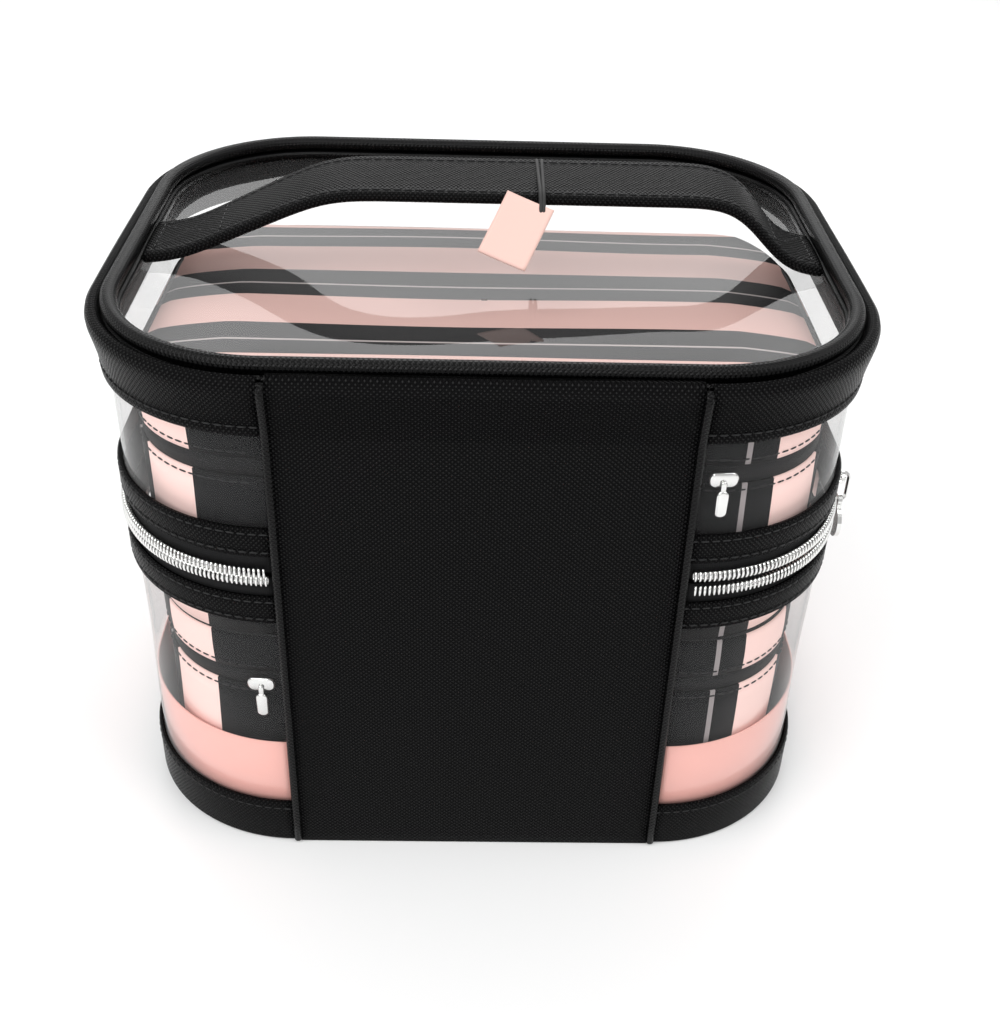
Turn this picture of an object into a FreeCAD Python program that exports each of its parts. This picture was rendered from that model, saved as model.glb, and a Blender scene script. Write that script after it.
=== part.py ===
import FreeCAD, Part
import math
import os
import Sketcher

# Makeup train case in millimetres: the rest face is Z = 0, the hinged back panel
# faces -Y, the opening front faces +Y.

os.makedirs("parts", exist_ok=True)
doc = FreeCAD.newDocument("train_case")
sheet = doc.addObject("Spreadsheet::Sheet", "Sizes")
Vector = FreeCAD.Vector
Rule = Sketcher.Constraint


class Dim:
    """A length that knows its number and the expression that gives it."""

    def __init__(self, text, value):
        self.text = text
        self.value = value

    def __add__(self, other):
        return Dim(f"({self.text} + {text_of(other)})", self.value + value_of(other))

    def __sub__(self, other):
        return Dim(f"({self.text} - {text_of(other)})", self.value - value_of(other))

    def __mul__(self, other):
        return Dim(f"({self.text} * {text_of(other)})", self.value * value_of(other))

    def __truediv__(self, other):
        return Dim(f"({self.text} / {text_of(other)})", self.value / value_of(other))

    def __neg__(self):
        return Dim(f"(0 - {self.text})", -self.value)


def text_of(item):
    return item.text if isinstance(item, Dim) else repr(float(item))


def value_of(item):
    return item.value if isinstance(item, Dim) else float(item)


rows = []


def size(name, value):
    """Write one driving size in the sheet and hand it back as a Dim."""
    rows.append(name)
    sheet.set(f"A{len(rows)}", name)
    sheet.set(f"B{len(rows)}", str(value))
    sheet.setAlias(f"B{len(rows)}", name)
    return Dim(f"Sizes.{name}", float(value))


# Shell: clear sheet walls with facings outside
wall_width = size("wall_width", 247.0)
wall_depth = size("wall_depth", 201.0)
corner_radius = size("corner_radius", 57.0)
case_height = size("case_height", 198.0)
zip_height = size("zip_height", 121.0)
vinyl_thick = size("vinyl_thick", 0.8)
facing_thick = size("facing_thick", 1.5)
liner_thick = size("liner_thick", 1.0)
cover_thick = size("cover_thick", 1.6)
board_thick = size("board_thick", 2.4)
trim_height = size("trim_height", 19.0)
liner_height = size("liner_height", 45.0)
strip_gap = size("strip_gap", 8.0)
strip_width = size("strip_width", 10.8)
band_height = size("band_height", 24.0)
band_flare = size("band_flare", 3.5)
fold_radius = size("fold_radius", 4.5)
fold_drop = size("fold_drop", 8.0)
panel_thick = size("panel_thick", 2.0)
welt_height = size("welt_height", 2.8)
piping_size = size("piping_size", 5.4)
cord_size = size("cord_size", 2.5)
cord_lift = size("cord_lift", 1.6)
seat_gap = size("seat_gap", 0.3)
hinge_gap = size("hinge_gap", 0.8)
hinge_offset = size("hinge_offset", 3.0)

# Zip chain
tooth_pitch = size("tooth_pitch", 4.4)
tooth_root = size("tooth_root", 2.4)
tooth_length = size("tooth_length", 3.7)
tooth_thick = size("tooth_thick", 2.4)
tooth_reach = size("tooth_reach", 0.5)
open_spread = size("open_spread", 1.25)
tape_edge = size("tape_edge", 1.2)

# Slider and pull
slider_length = size("slider_length", 14.0)
slider_width = size("slider_width", 11.2)
slider_plate = size("slider_plate", 1.2)
slider_play = size("slider_play", 0.4)
slider_place = size("slider_place", 36.0)
neck_thick = size("neck_thick", 0.9)
lip_thick = size("lip_thick", 0.8)
bail_inner = size("bail_inner", 2.8)
bail_wire = size("bail_wire", 1.3)
bail_leg = size("bail_leg", 1.2)
link_wire = size("link_wire", 1.3)
link_inner = size("link_inner", 1.4)
link_length = size("link_length", 7.5)
pull_radius = size("pull_radius", 6.5)
pull_thick = size("pull_thick", 1.5)
pull_hole = size("pull_hole", 1.2)
pull_merge = size("pull_merge", 0.2)

# Handle strap and tag
strap_width = size("strap_width", 30.0)
strap_thick = size("strap_thick", 3.5)
strap_rise = size("strap_rise", 25.0)
left_tail = size("left_tail", 5.2)
left_run = size("left_run", 67.0)
right_tail = size("right_tail", 7.2)
right_run = size("right_run", 32.0)
left_foot_radius = size("left_foot_radius", 20.0)
left_top_radius = size("left_top_radius", 40.0)
right_foot_radius = size("right_foot_radius", 8.0)
right_top_radius = size("right_top_radius", 16.0)
left_sewn = size("left_sewn", 25.5)
right_sewn = size("right_sewn", 12.0)
tag_place = size("tag_place", 18.6)
loop_width = size("loop_width", 2.4)
loop_thick = size("loop_thick", 1.0)
loop_slack = size("loop_slack", 2.0)
tag_width = size("tag_width", 17.0)
tag_length = size("tag_length", 24.0)
tag_thick = size("tag_thick", 0.6)
tag_margin = size("tag_margin", 3.0)
tag_slope = size("tag_slope", 42.0)
tag_turn = size("tag_turn", 15.0)

# Nested zip pouches
pouch_side_gap = size("pouch_side_gap", 13.5)
pouch_back_gap = size("pouch_back_gap", 4.5)
pouch_depth = size("pouch_depth", 146.0)
pouch_radius = size("pouch_radius", 42.0)
pouch_thick = size("pouch_thick", 1.4)
pouch_split = size("pouch_split", 92.0)
pouch_headroom = size("pouch_headroom", 11.0)
pouch_zip_width = size("pouch_zip_width", 7.0)
pouch_zip_drop = size("pouch_zip_drop", 19.5)
pull_length = size("pull_length", 15.0)
doc.recompute()

zero = Dim("0", 0.0)
corner_x = wall_width / 2 - corner_radius
corner_y = wall_depth / 2 - corner_radius
floor_top = cover_thick + board_thick
low_seam = zip_height - strip_gap - strip_width / 2
high_seam = zip_height + strip_gap + strip_width / 2
band_base = case_height - band_height
fold_base = case_height - fold_drop
window_top = case_height - piping_size - welt_height
window_base = window_top - vinyl_thick
welt_top = case_height - piping_size
lining = vinyl_thick + liner_thick

finished = []


def bind(item, name, dim):
    item.setExpression(name, text_of(dim))


def new_body(label):
    body = doc.addObject("PartDesign::Body", label)
    body.Label = label
    return body


def new_sketch(body, plane, lift=zero):
    """A sketch on one of the body's own origin planes, lifted along its normal."""
    sketch = body.newObject("Sketcher::SketchObject", f"{body.Name}_sketch")
    support = [item for item in body.Origin.OriginFeatures if item.Role == plane][0]
    sketch.AttachmentSupport = (support, [""])
    sketch.MapMode = "FlatFace"
    bind(sketch, "AttachmentOffset.Base.z", lift)
    return sketch


def rule(sketch, kind, *parts):
    """Add a constraint; a Dim as its last part is bound to the sheet."""
    last = parts[-1]
    if isinstance(last, Dim):
        index = sketch.addConstraint(Rule(kind, *parts[:-1], last.value))
        bind(sketch, f"Constraints[{index}]", last)
    else:
        sketch.addConstraint(Rule(kind, *parts))


def place_point(sketch, shape, spot, x, y):
    rule(sketch, "DistanceX", -1, 1, shape, spot, x)
    rule(sketch, "DistanceY", -1, 1, shape, spot, y)


def draw_line(sketch, start, end):
    """A line between two drawn points, each given as (shape, spot)."""
    line = sketch.addGeometry(Part.LineSegment(sketch.getPoint(*start), sketch.getPoint(*end)), False)
    rule(sketch, "Coincident", line, 1, *start)
    rule(sketch, "Coincident", line, 2, *end)
    return line


def draw_polygon(sketch, points):
    """A closed outline with each vertex bound to its two Dims."""
    count = len(points)
    spots = [Vector(value_of(x), value_of(y), 0) for x, y in points]
    lines = [sketch.addGeometry(Part.LineSegment(spots[i], spots[(i + 1) % count]), False) for i in range(count)]
    for i in range(count):
        rule(sketch, "Coincident", lines[i], 2, lines[(i + 1) % count], 1)
        place_point(sketch, lines[i], 1, *points[i])
    return lines


def draw_chain(sketch, start, corners, end):
    """Lines from one drawn point through placed corners to another drawn point."""
    marks = [sketch.addGeometry(Part.Point(Vector(x.value, y.value, 0)), True) for x, y in corners]
    for mark, spot in zip(marks, corners):
        place_point(sketch, mark, 1, *spot)
    stops = [start] + [(mark, 1) for mark in marks] + [end]
    for one, two in zip(stops, stops[1:]):
        draw_line(sketch, one, two)


def draw_circle(sketch, x, y, radius):
    circle = Part.Circle(Vector(x.value, y.value, 0), Vector(0, 0, 1), radius.value)
    shape = sketch.addGeometry(circle, False)
    place_point(sketch, shape, 3, x, y)
    rule(sketch, "Radius", shape, radius)


def draw_chords(sketch, x, y, radius, sides, flat=True):
    """A regular many-sided ring, with flats or corners at the given radius."""
    step = math.pi / sides
    reach = radius / math.cos(step) if flat else radius
    turns = [(2 * index + 1) * step for index in range(sides)]
    draw_polygon(sketch, [(x + reach * math.cos(turn), y + reach * math.sin(turn)) for turn in turns])


def draw_soft_rectangle(sketch, half, low, high, radius, chords=4):
    """A rectangle whose corners are rounded off in a few chords."""
    points = []
    for index, (x, y) in enumerate(((half, high), (-half, high), (-half, low), (half, low))):
        for step in range(chords + 1):
            turn = (index + step / chords) * math.pi / 2
            points.append((x + radius * math.cos(turn), y + radius * math.sin(turn)))
    draw_polygon(sketch, points)


def draw_arc(sketch, x, y, radius, start, turn=90):
    """A quarter or half arc, anticlockwise from a quarter-turn start angle."""
    circle = Part.Circle(Vector(x.value, y.value, 0), Vector(0, 0, 1), radius.value)
    shape = sketch.addGeometry(Part.ArcOfCircle(circle, math.radians(start), math.radians(start + turn)), False)
    place_point(sketch, shape, 3, x, y)
    rule(sketch, "Radius", shape, radius)
    for spot, angle in ((1, start), (2, start + turn)):
        rule(sketch, "Horizontal" if angle % 180 == 0 else "Vertical", shape, 3, shape, spot)
    return shape


def draw_corners(sketch, half, low, high, radius):
    """Four corner arcs: back left, front left, front right, back right."""
    return (
        draw_arc(sketch, -half, low, radius, 180),
        draw_arc(sketch, -half, high, radius, 90),
        draw_arc(sketch, half, high, radius, 0),
        draw_arc(sketch, half, low, radius, 270),
    )


def draw_three_sides(sketch, arcs):
    draw_line(sketch, (arcs[0], 1), (arcs[1], 2))
    draw_line(sketch, (arcs[1], 1), (arcs[2], 2))
    draw_line(sketch, (arcs[2], 1), (arcs[3], 2))


def draw_round_rectangle(sketch, half, low, high, radius):
    arcs = draw_corners(sketch, half, low, high, radius)
    draw_three_sides(sketch, arcs)
    draw_line(sketch, (arcs[3], 1), (arcs[0], 2))


def draw_case_outline(sketch, offset):
    """The plan outline of the case, moved outward by the offset."""
    draw_round_rectangle(sketch, corner_x, -corner_y, corner_y, corner_radius + offset)


def add_pad(body, sketch, length, both_ways=False):
    pad = body.newObject("PartDesign::Pad", f"{body.Name}_pad")
    pad.Profile = sketch
    bind(pad, "Length", length)
    if both_ways:
        pad.SideType = "Symmetric"
    return pad


def add_pipe(body, sketch, path):
    pipe = body.newObject("PartDesign::AdditivePipe", f"{body.Name}_pipe")
    pipe.Profile = sketch
    pipe.Spine = (path, [f"Edge{i + 1}" for i in range(path.GeometryCount)])
    return pipe


def finish(item):
    finished.append(item)
    return item


def wrap(label, inner, outer, low, high):
    """A sheet that wraps the left, front and right sides between two heights."""
    body = new_body(label)
    sketch = new_sketch(body, "XY_Plane", low)
    outside = draw_corners(sketch, corner_x, -corner_y, corner_y, corner_radius + outer)
    inside = draw_corners(sketch, corner_x, -corner_y, corner_y, corner_radius + inner)
    draw_three_sides(sketch, outside)
    draw_three_sides(sketch, inside)
    draw_line(sketch, (outside[0], 2), (inside[0], 2))
    draw_line(sketch, (outside[3], 1), (inside[3], 1))
    add_pad(body, sketch, high - low)
    return finish(body)


def plate(label, offset, low, high):
    """A full panel on the case's plan outline."""
    body = new_body(label)
    sketch = new_sketch(body, "XY_Plane", low)
    draw_case_outline(sketch, offset)
    add_pad(body, sketch, high - low)
    return finish(body)


def box(label, x, y, z):
    """A flat sheet or block between pairs of X, Y and Z."""
    body = new_body(label)
    sketch = new_sketch(body, "XY_Plane", z[0])
    draw_polygon(sketch, [(x[0], y[0]), (x[1], y[0]), (x[1], y[1]), (x[0], y[1])])
    add_pad(body, sketch, z[1] - z[0])
    return body


def draw_fold_section(sketch, low, thick, base):
    """Upright facing that flares to a rolled fold; offsets run toward -Y from the back wall."""
    back = -(wall_depth / 2)
    middle = back - facing_thick - band_flare + fold_radius
    points = [(back, fold_base + fold_radius), (back, low), (back - thick, low)]
    if base is not None:
        points.append((back - thick, base))
    for step in range(3):
        turn = (1 - step / 4) * math.pi
        points.append((middle + fold_radius * math.cos(turn), fold_base + fold_radius * math.sin(turn)))
    draw_polygon(sketch, points)


# Bottom of the case
plate("bottom_cover", zero, zero, cover_thick)
plate("bottom_board", -lining, cover_thick, floor_top)
wrap("bottom_trim", zero, facing_thick, zero, trim_height)
wrap("lower_window", -vinyl_thick, zero, cover_thick, low_seam)
wrap("pink_liner", -lining, -vinyl_thick, cover_thick, cover_thick + liner_height)
wrap("lower_zip_tape", -vinyl_thick, zero, low_seam, zip_height - tape_edge)
wrap("lower_zip_facing", zero, facing_thick, low_seam - strip_width / 2, low_seam + strip_width / 2)

# Lid sides
wrap("upper_zip_tape", -vinyl_thick, zero, zip_height + tape_edge, high_seam)
wrap("upper_zip_facing", zero, facing_thick, high_seam - strip_width / 2, high_seam + strip_width / 2)
wrap("upper_window", -vinyl_thick, zero, high_seam, window_base)
plate("top_window", zero, window_base, window_top)

# Flared top band with its rolled edge
top_band = new_body("top_band")
band_path = new_sketch(top_band, "XY_Plane")
band_arcs = draw_corners(band_path, corner_x, -corner_y, corner_y, corner_radius)
draw_three_sides(band_path, band_arcs)
band_section = new_sketch(top_band, "YZ_Plane", -corner_x)
draw_fold_section(band_section, band_base, facing_thick, None)
add_pipe(top_band, band_section, band_path)
finish(top_band)

# Flat welt that clamps the window, and the round piping on it
piping_inset = piping_size / 2 + seat_gap
top_welt = new_body("top_welt")
welt_sketch = new_sketch(top_welt, "XY_Plane", window_top)
for inset in (zero, piping_inset * 2):
    draw_soft_rectangle(welt_sketch, corner_x, -corner_y, corner_y, corner_radius - inset, 8)
add_pad(top_welt, welt_sketch, welt_height)
finish(top_welt)

top_piping = new_body("top_piping")
piping_path = new_sketch(top_piping, "XY_Plane", welt_top + piping_size / 2)
draw_case_outline(piping_path, -piping_inset)
piping_section = new_sketch(top_piping, "YZ_Plane")
draw_chords(piping_section, -(wall_depth / 2 - piping_inset), welt_top + piping_size / 2, piping_size / 2, 8)
add_pipe(top_piping, piping_section, piping_path)
finish(top_piping)

# Back panel: stiff board inside, grained panel outside, a cord down each edge
panel_half = corner_x - cord_size
back_y = -(wall_depth / 2)
fold_low = zip_height - hinge_gap / 2
fold_high = zip_height + hinge_gap / 2
board_y = (back_y, back_y + lining)
finish(box("back_board_lower", (-corner_x, corner_x), board_y, (cover_thick, fold_low)))
finish(box("back_board_upper", (-corner_x, corner_x), board_y, (fold_high, window_base)))
panel_y = (back_y - panel_thick, back_y)
finish(box("back_panel_lower", (-panel_half, panel_half), panel_y, (zero, fold_low)))

panel_upper = new_body("back_panel_upper")
panel_section = new_sketch(panel_upper, "YZ_Plane")
draw_fold_section(panel_section, fold_high, panel_thick, band_base)
add_pad(panel_upper, panel_section, panel_half * 2, both_ways=True)
finish(panel_upper)


def edge_cord(label, side, points):
    """A round cord that follows points of (offset, height) on one panel edge."""
    body = new_body(label)
    place = (corner_x - cord_size / 2) * side
    path = new_sketch(body, "YZ_Plane", place)
    spots = [Vector((back_y - lift).value, high.value, 0) for lift, high in points]
    lines = [path.addGeometry(Part.LineSegment(a, b), False) for a, b in zip(spots, spots[1:])]
    for index, line in enumerate(lines):
        place_point(path, line, 2, back_y - points[index + 1][0], points[index + 1][1])
        if index:
            rule(path, "Coincident", line, 1, lines[index - 1], 2)
    place_point(path, lines[0], 1, back_y - points[0][0], points[0][1])
    ring = new_sketch(body, "XY_Plane", points[0][1])
    draw_chords(ring, place, back_y - points[0][0], cord_size / 2, 8)
    add_pipe(body, ring, path).Transition = "Right corner"
    return finish(body)


cord_gap = hinge_gap / 2 + cord_size / 2
low_run = [(cord_lift, seat_gap), (cord_lift, zip_height - cord_gap)]
flared = cord_lift + band_flare - (panel_thick - facing_thick)
rolled = (flared - fold_radius * 0.5, fold_base + fold_radius * 0.8)
high_run = [(cord_lift, zip_height + cord_gap), (cord_lift, band_base), (flared, fold_base), rolled]
edge_cord("back_cord_lower_left", -1, low_run)
edge_cord("back_cord_lower_right", 1, low_run)
edge_cord("back_cord_upper_left", -1, high_run)
edge_cord("back_cord_upper_right", 1, high_run)

# Zip teeth: one tooth drawn once, then copied along the wall outline
tooth = new_body("zip_tooth")
tooth_sketch = new_sketch(tooth, "XY_Plane", seat_gap / 20)
draw_polygon(tooth_sketch, [(tooth_root / 2, zero), (zero, tooth_length), (-(tooth_root / 2), zero)])
add_pad(tooth, tooth_sketch, tooth_thick)
doc.recompute()


def path_frame(run):
    """Point and outward direction at a run along the wall, from the left panel edge."""
    radius = corner_radius.value
    quarter = radius * math.pi / 2
    sides = (wall_depth.value - 2 * radius, wall_width.value - 2 * radius, wall_depth.value - 2 * radius)
    centres = ((-1, -1), (-1, 1), (1, 1), (1, -1))
    for index, (sx, sy) in enumerate(centres):
        start = math.radians(270 - 90 * index)
        if run <= quarter or index == 3:
            angle = start - run / radius
            out = Vector(math.cos(angle), math.sin(angle), 0)
            return Vector(sx * corner_x.value, sy * corner_y.value, 0) + out * radius, out
        run -= quarter
        if run <= sides[index]:
            angle = start - math.pi / 2
            out = Vector(math.cos(angle), math.sin(angle), 0)
            along = Vector(math.sin(angle), -math.cos(angle), 0)
            begin = Vector(sx * corner_x.value, sy * corner_y.value, 0) + out * radius
            return begin + along * run, out
        run -= sides[index]


def zip_row(label, sign):
    """One row of teeth; the stretch from the right side to the panel stands open."""
    radius = corner_radius.value
    total = 2 * math.pi * radius + 2 * (wall_depth.value + wall_width.value / 2 - 3 * radius)
    opening = total - math.pi * radius / 2 - 2 * corner_y.value
    pitch = tooth_pitch.value
    first = pitch if sign < 0 else pitch * 1.5
    count = int((total - 2 * pitch) / pitch)
    copies = []
    for index in range(count):
        run = first + index * pitch
        spot, out = path_frame(run)
        spread = open_spread.value if run > opening else 0.0
        root = zip_height.value + sign * (tooth_length.value - tooth_reach.value + spread)
        up = Vector(0, 0, -sign)
        turn = FreeCAD.Rotation(up.cross(out), up, out, "ZYX")
        spot.z = root
        copy = tooth.Shape.copy()
        copy.Placement = FreeCAD.Placement(spot, turn)
        copies.append(copy)
    row = doc.addObject("Part::Feature", label)
    row.Label = label
    row.Shape = Part.makeCompound(copies)
    return finish(row)


zip_row("lower_zip_teeth", -1)
zip_row("upper_zip_teeth", 1)

# Slider: outer and inner plate on a thin neck, with a lip under the lower row and a bail
wall_x = wall_width / 2
slide_y = -slider_place
plate_in = tooth_thick + slider_play
plate_x = wall_x + plate_in
half_long = slider_length / 2
half_wide = slider_width / 2
slider = new_body("zip_slider")
outer_sketch = new_sketch(slider, "YZ_Plane", plate_x)
shoulder = half_wide * 0.78
plate_outline = [
    (slide_y - half_long, -shoulder),
    (slide_y - half_long * 0.7, -half_wide),
    (slide_y + half_long * 0.3, -half_wide),
    (slide_y + half_long, -(half_wide * 0.72)),
    (slide_y + half_long, half_wide * 0.72),
    (slide_y + half_long * 0.3, half_wide),
    (slide_y - half_long * 0.7, half_wide),
    (slide_y - half_long, shoulder),
]
draw_polygon(outer_sketch, [(y, zip_height + z) for y, z in plate_outline])
add_pad(slider, outer_sketch, slider_plate)
neck_sketch = new_sketch(slider, "YZ_Plane", wall_x - vinyl_thick - slider_play - slider_plate / 2)
neck_y = (slide_y - half_long * 0.8, slide_y - half_long * 0.4)
neck_z = (zip_height - neck_thick / 2, zip_height + neck_thick / 2)
draw_polygon(neck_sketch, [(neck_y[0], neck_z[0]), (neck_y[1], neck_z[0]), (neck_y[1], neck_z[1]), (neck_y[0], neck_z[1])])
add_pad(slider, neck_sketch, plate_in + vinyl_thick + slider_play + slider_plate)
inner_sketch = new_sketch(slider, "YZ_Plane", wall_x - vinyl_thick - slider_play - slider_plate)
draw_polygon(inner_sketch, [(y, zip_height + z * 0.9) for y, z in plate_outline])
add_pad(slider, inner_sketch, slider_plate)
lip_sketch = new_sketch(slider, "YZ_Plane", wall_x + slider_play)
lip_y = (slide_y - half_long * 0.7, slide_y + half_long * 0.3)
lip_z = (zip_height - half_wide, zip_height - half_wide + lip_thick)
draw_polygon(lip_sketch, [(lip_y[0], lip_z[0]), (lip_y[1], lip_z[0]), (lip_y[1], lip_z[1]), (lip_y[0], lip_z[1])])
add_pad(slider, lip_sketch, plate_in - slider_play + slider_plate / 2)
bail_sketch = new_sketch(slider, "XY_Plane", zip_height)
bail_x = plate_x + slider_plate + bail_leg
bail_foot = plate_x + slider_plate / 2
bail_outer = bail_inner + bail_wire
outer_arc = draw_arc(bail_sketch, bail_x, slide_y, bail_outer, 270, 180)
inner_arc = draw_arc(bail_sketch, bail_x, slide_y, bail_inner, 270, 180)
for spot, side in ((1, -1), (2, 1)):
    feet = [(bail_foot, slide_y + bail_outer * side), (bail_foot, slide_y + bail_inner * side)]
    draw_chain(bail_sketch, (outer_arc, spot), feet, (inner_arc, spot))
add_pad(slider, bail_sketch, bail_wire, both_ways=True)
finish(slider)

# Wire link on the bail, then the framed pull on the link
bail_mid = bail_x + bail_inner + bail_wire / 2
link_mid = link_inner + link_wire / 2
pull_link = new_body("pull_link")
link_path = new_sketch(pull_link, "XZ_Plane", slider_place)
link_top = draw_arc(link_path, bail_mid, zip_height, link_mid, 0, 180)
link_bottom = draw_arc(link_path, bail_mid, zip_height - link_length, link_mid, 180, 180)
draw_line(link_path, (link_top, 2), (link_bottom, 1))
draw_line(link_path, (link_bottom, 2), (link_top, 1))
link_section = new_sketch(pull_link, "XY_Plane", zip_height)
draw_chords(link_section, bail_mid + link_mid, slide_y, link_wire / 2, 6, flat=False)
add_pipe(pull_link, link_section, link_path)
finish(pull_link)

pull_frame = new_body("pull_frame")
hole_z = zip_height - link_length - link_mid
pull_ear = pull_hole + link_wire * 0.85
disc_z = hole_z - pull_ear - pull_radius + pull_merge
inlay_depth = pull_thick * 0.4
inlay_radius = pull_radius - pull_ear / 2
for centre, radius, sides in ((disc_z, pull_radius, 32), (hole_z, pull_ear, 16)):
    round_sketch = new_sketch(pull_frame, "YZ_Plane", bail_mid)
    draw_chords(round_sketch, slide_y, centre, radius, sides)
    add_pad(pull_frame, round_sketch, pull_thick, both_ways=True)
waist_sketch = new_sketch(pull_frame, "YZ_Plane", bail_mid)
waist = pull_ear * 0.9
waist_outline = [
    (slide_y - waist, disc_z),
    (slide_y + waist, disc_z),
    (slide_y + waist, hole_z - pull_ear * 0.3),
    (slide_y - waist, hole_z - pull_ear * 0.3),
]
draw_polygon(waist_sketch, waist_outline)
add_pad(pull_frame, waist_sketch, pull_thick, both_ways=True)


def add_pocket(body, plane, lift, x, y, radius, sides, depth):
    sketch = new_sketch(body, plane, lift)
    draw_chords(sketch, x, y, radius, sides)
    pocket = body.newObject("PartDesign::Pocket", f"{body.Name}_pocket")
    pocket.Profile = sketch
    bind(pocket, "Length", depth)


add_pocket(pull_frame, "YZ_Plane", bail_mid + pull_thick / 2, slide_y, hole_z, pull_hole, 16, pull_thick)
add_pocket(pull_frame, "YZ_Plane", bail_mid + pull_thick / 2, slide_y, disc_z, inlay_radius, 32, inlay_depth)
finish(pull_frame)

pull_inlay = new_body("pull_inlay")
inlay_sketch = new_sketch(pull_inlay, "YZ_Plane", bail_mid + pull_thick / 2 - inlay_depth)
draw_chords(inlay_sketch, slide_y, disc_z, inlay_radius - seat_gap / 2, 32)
add_pad(pull_inlay, inlay_sketch, inlay_depth * 1.3)
finish(pull_inlay)

# Handle strap: one long sweep, parted at the two seams where the sewn ends begin
strap_low = window_top + strap_thick / 2
strap_high = strap_low + strap_rise
strap_end = wall_x - piping_inset * 2 - seat_gap
left_foot = strap_end - left_tail
left_shoulder = left_foot - left_run
left_seam = left_foot - left_sewn
right_foot = strap_end - right_tail
right_shoulder = right_foot - right_run
right_seam = right_foot - right_sewn
strap = new_body("strap_sweep")
strap_path = new_sketch(strap, "XZ_Plane")


def ramp_angle(span, radii):
    """Slope of the straight run between two tangent arcs of an S bend."""
    drop = strap_rise.value - radii
    return math.asin(radii / math.hypot(span, drop)) + math.atan2(drop, span)


def strap_arc(x, y, radius, begin, end, level_spot):
    circle = Part.Circle(Vector(x.value, y.value, 0), Vector(0, 0, 1), radius.value)
    shape = strap_path.addGeometry(Part.ArcOfCircle(circle, begin, end), False)
    place_point(strap_path, shape, 3, x, y)
    rule(strap_path, "Radius", shape, radius)
    rule(strap_path, "Vertical", shape, 3, shape, level_spot)
    return shape


def strap_ramp(start, end):
    line = strap_path.addGeometry(Part.LineSegment(strap_path.getPoint(*start), strap_path.getPoint(*end)), False)
    rule(strap_path, "Tangent", line, 1, *start)
    rule(strap_path, "Tangent", line, 2, *end)


up = math.pi / 2
left_angle = ramp_angle((left_foot - left_shoulder).value, (left_foot_radius + left_top_radius).value)
right_angle = ramp_angle((right_foot - right_shoulder).value, (right_foot_radius + right_top_radius).value)
foot_left = strap_arc(-left_foot, strap_low + left_foot_radius, left_foot_radius, -up, left_angle - up, 1)
top_left = strap_arc(-left_shoulder, strap_high - left_top_radius, left_top_radius, up, up + left_angle, 1)
top_right = strap_arc(right_shoulder, strap_high - right_top_radius, right_top_radius, up - right_angle, up, 2)
foot_right = strap_arc(right_foot, strap_low + right_foot_radius, right_foot_radius, 3 * up - right_angle, 3 * up, 2)
strap_ramp((foot_left, 2), (top_left, 2))
draw_line(strap_path, (top_left, 1), (top_right, 2))
strap_ramp((top_right, 1), (foot_right, 1))
for arc, spot, side in ((foot_left, 1, -1), (foot_right, 2, 1)):
    tip = strap_path.addGeometry(Part.Point(Vector(strap_end.value * side, strap_low.value, 0)), True)
    place_point(strap_path, tip, 1, strap_end * side, strap_low)
    draw_line(strap_path, (tip, 1), (arc, spot))
strap_section = new_sketch(strap, "YZ_Plane", -strap_end)
half_strap = strap_width / 2
strap_outline = [
    (-half_strap, strap_low - strap_thick / 2),
    (half_strap, strap_low - strap_thick / 2),
    (half_strap, strap_low + strap_thick / 2),
    (-half_strap, strap_low + strap_thick / 2),
]
draw_polygon(strap_section, strap_outline)
strap_pipe = strap.newObject("PartDesign::AdditivePipe", "strap_pipe")
strap_pipe.Profile = strap_section
strap_pipe.Spine = (strap_path, [f"Edge{i + 1}" for i in range(9)])


def strap_part(label, low, high):
    """The stretch of the strap between two X places."""
    block = doc.addObject("Part::Box", f"{label}_block")
    bind(block, "Length", high - low)
    bind(block, "Width", strap_width * 2)
    bind(block, "Height", strap_rise * 4)
    bind(block, "Placement.Base.x", low)
    bind(block, "Placement.Base.y", -strap_width)
    bind(block, "Placement.Base.z", strap_low - strap_rise)
    part = doc.addObject("Part::Common", label)
    part.Label = label
    part.Base = strap
    part.Tool = block
    return finish(part)


strap_part("handle_end_left", -wall_x, -left_seam)
strap_part("handle_strap", -left_seam + seat_gap, right_seam - seat_gap)
strap_part("handle_end_right", right_seam, wall_x)

# Elastic loop round the strap, slack on the near side, and the blank card on it
tag_reach = (tag_width - tag_margin) * math.sin(math.radians(tag_turn.value))
tag_reach = tag_reach + tag_margin * math.cos(math.radians(tag_turn.value))
tag_y = -(half_strap + seat_gap * 2 + tag_reach)
near_edge = tag_y + loop_thick / 2
far_edge = half_strap + seat_gap
low_edge = strap_high - strap_thick / 2 - seat_gap - loop_slack
high_edge = strap_high + strap_thick / 2 + seat_gap
tag_loop = new_body("tag_loop")
loop_sketch = new_sketch(tag_loop, "YZ_Plane", tag_place - loop_width / 2)
for grow in (zero, loop_thick):
    loop_outline = [
        (near_edge - grow, low_edge - grow),
        (far_edge + grow, low_edge - grow),
        (far_edge + grow, high_edge + grow),
        (near_edge - grow, high_edge + grow),
    ]
    draw_polygon(loop_sketch, loop_outline)
add_pad(tag_loop, loop_sketch, loop_width)
finish(tag_loop)

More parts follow.
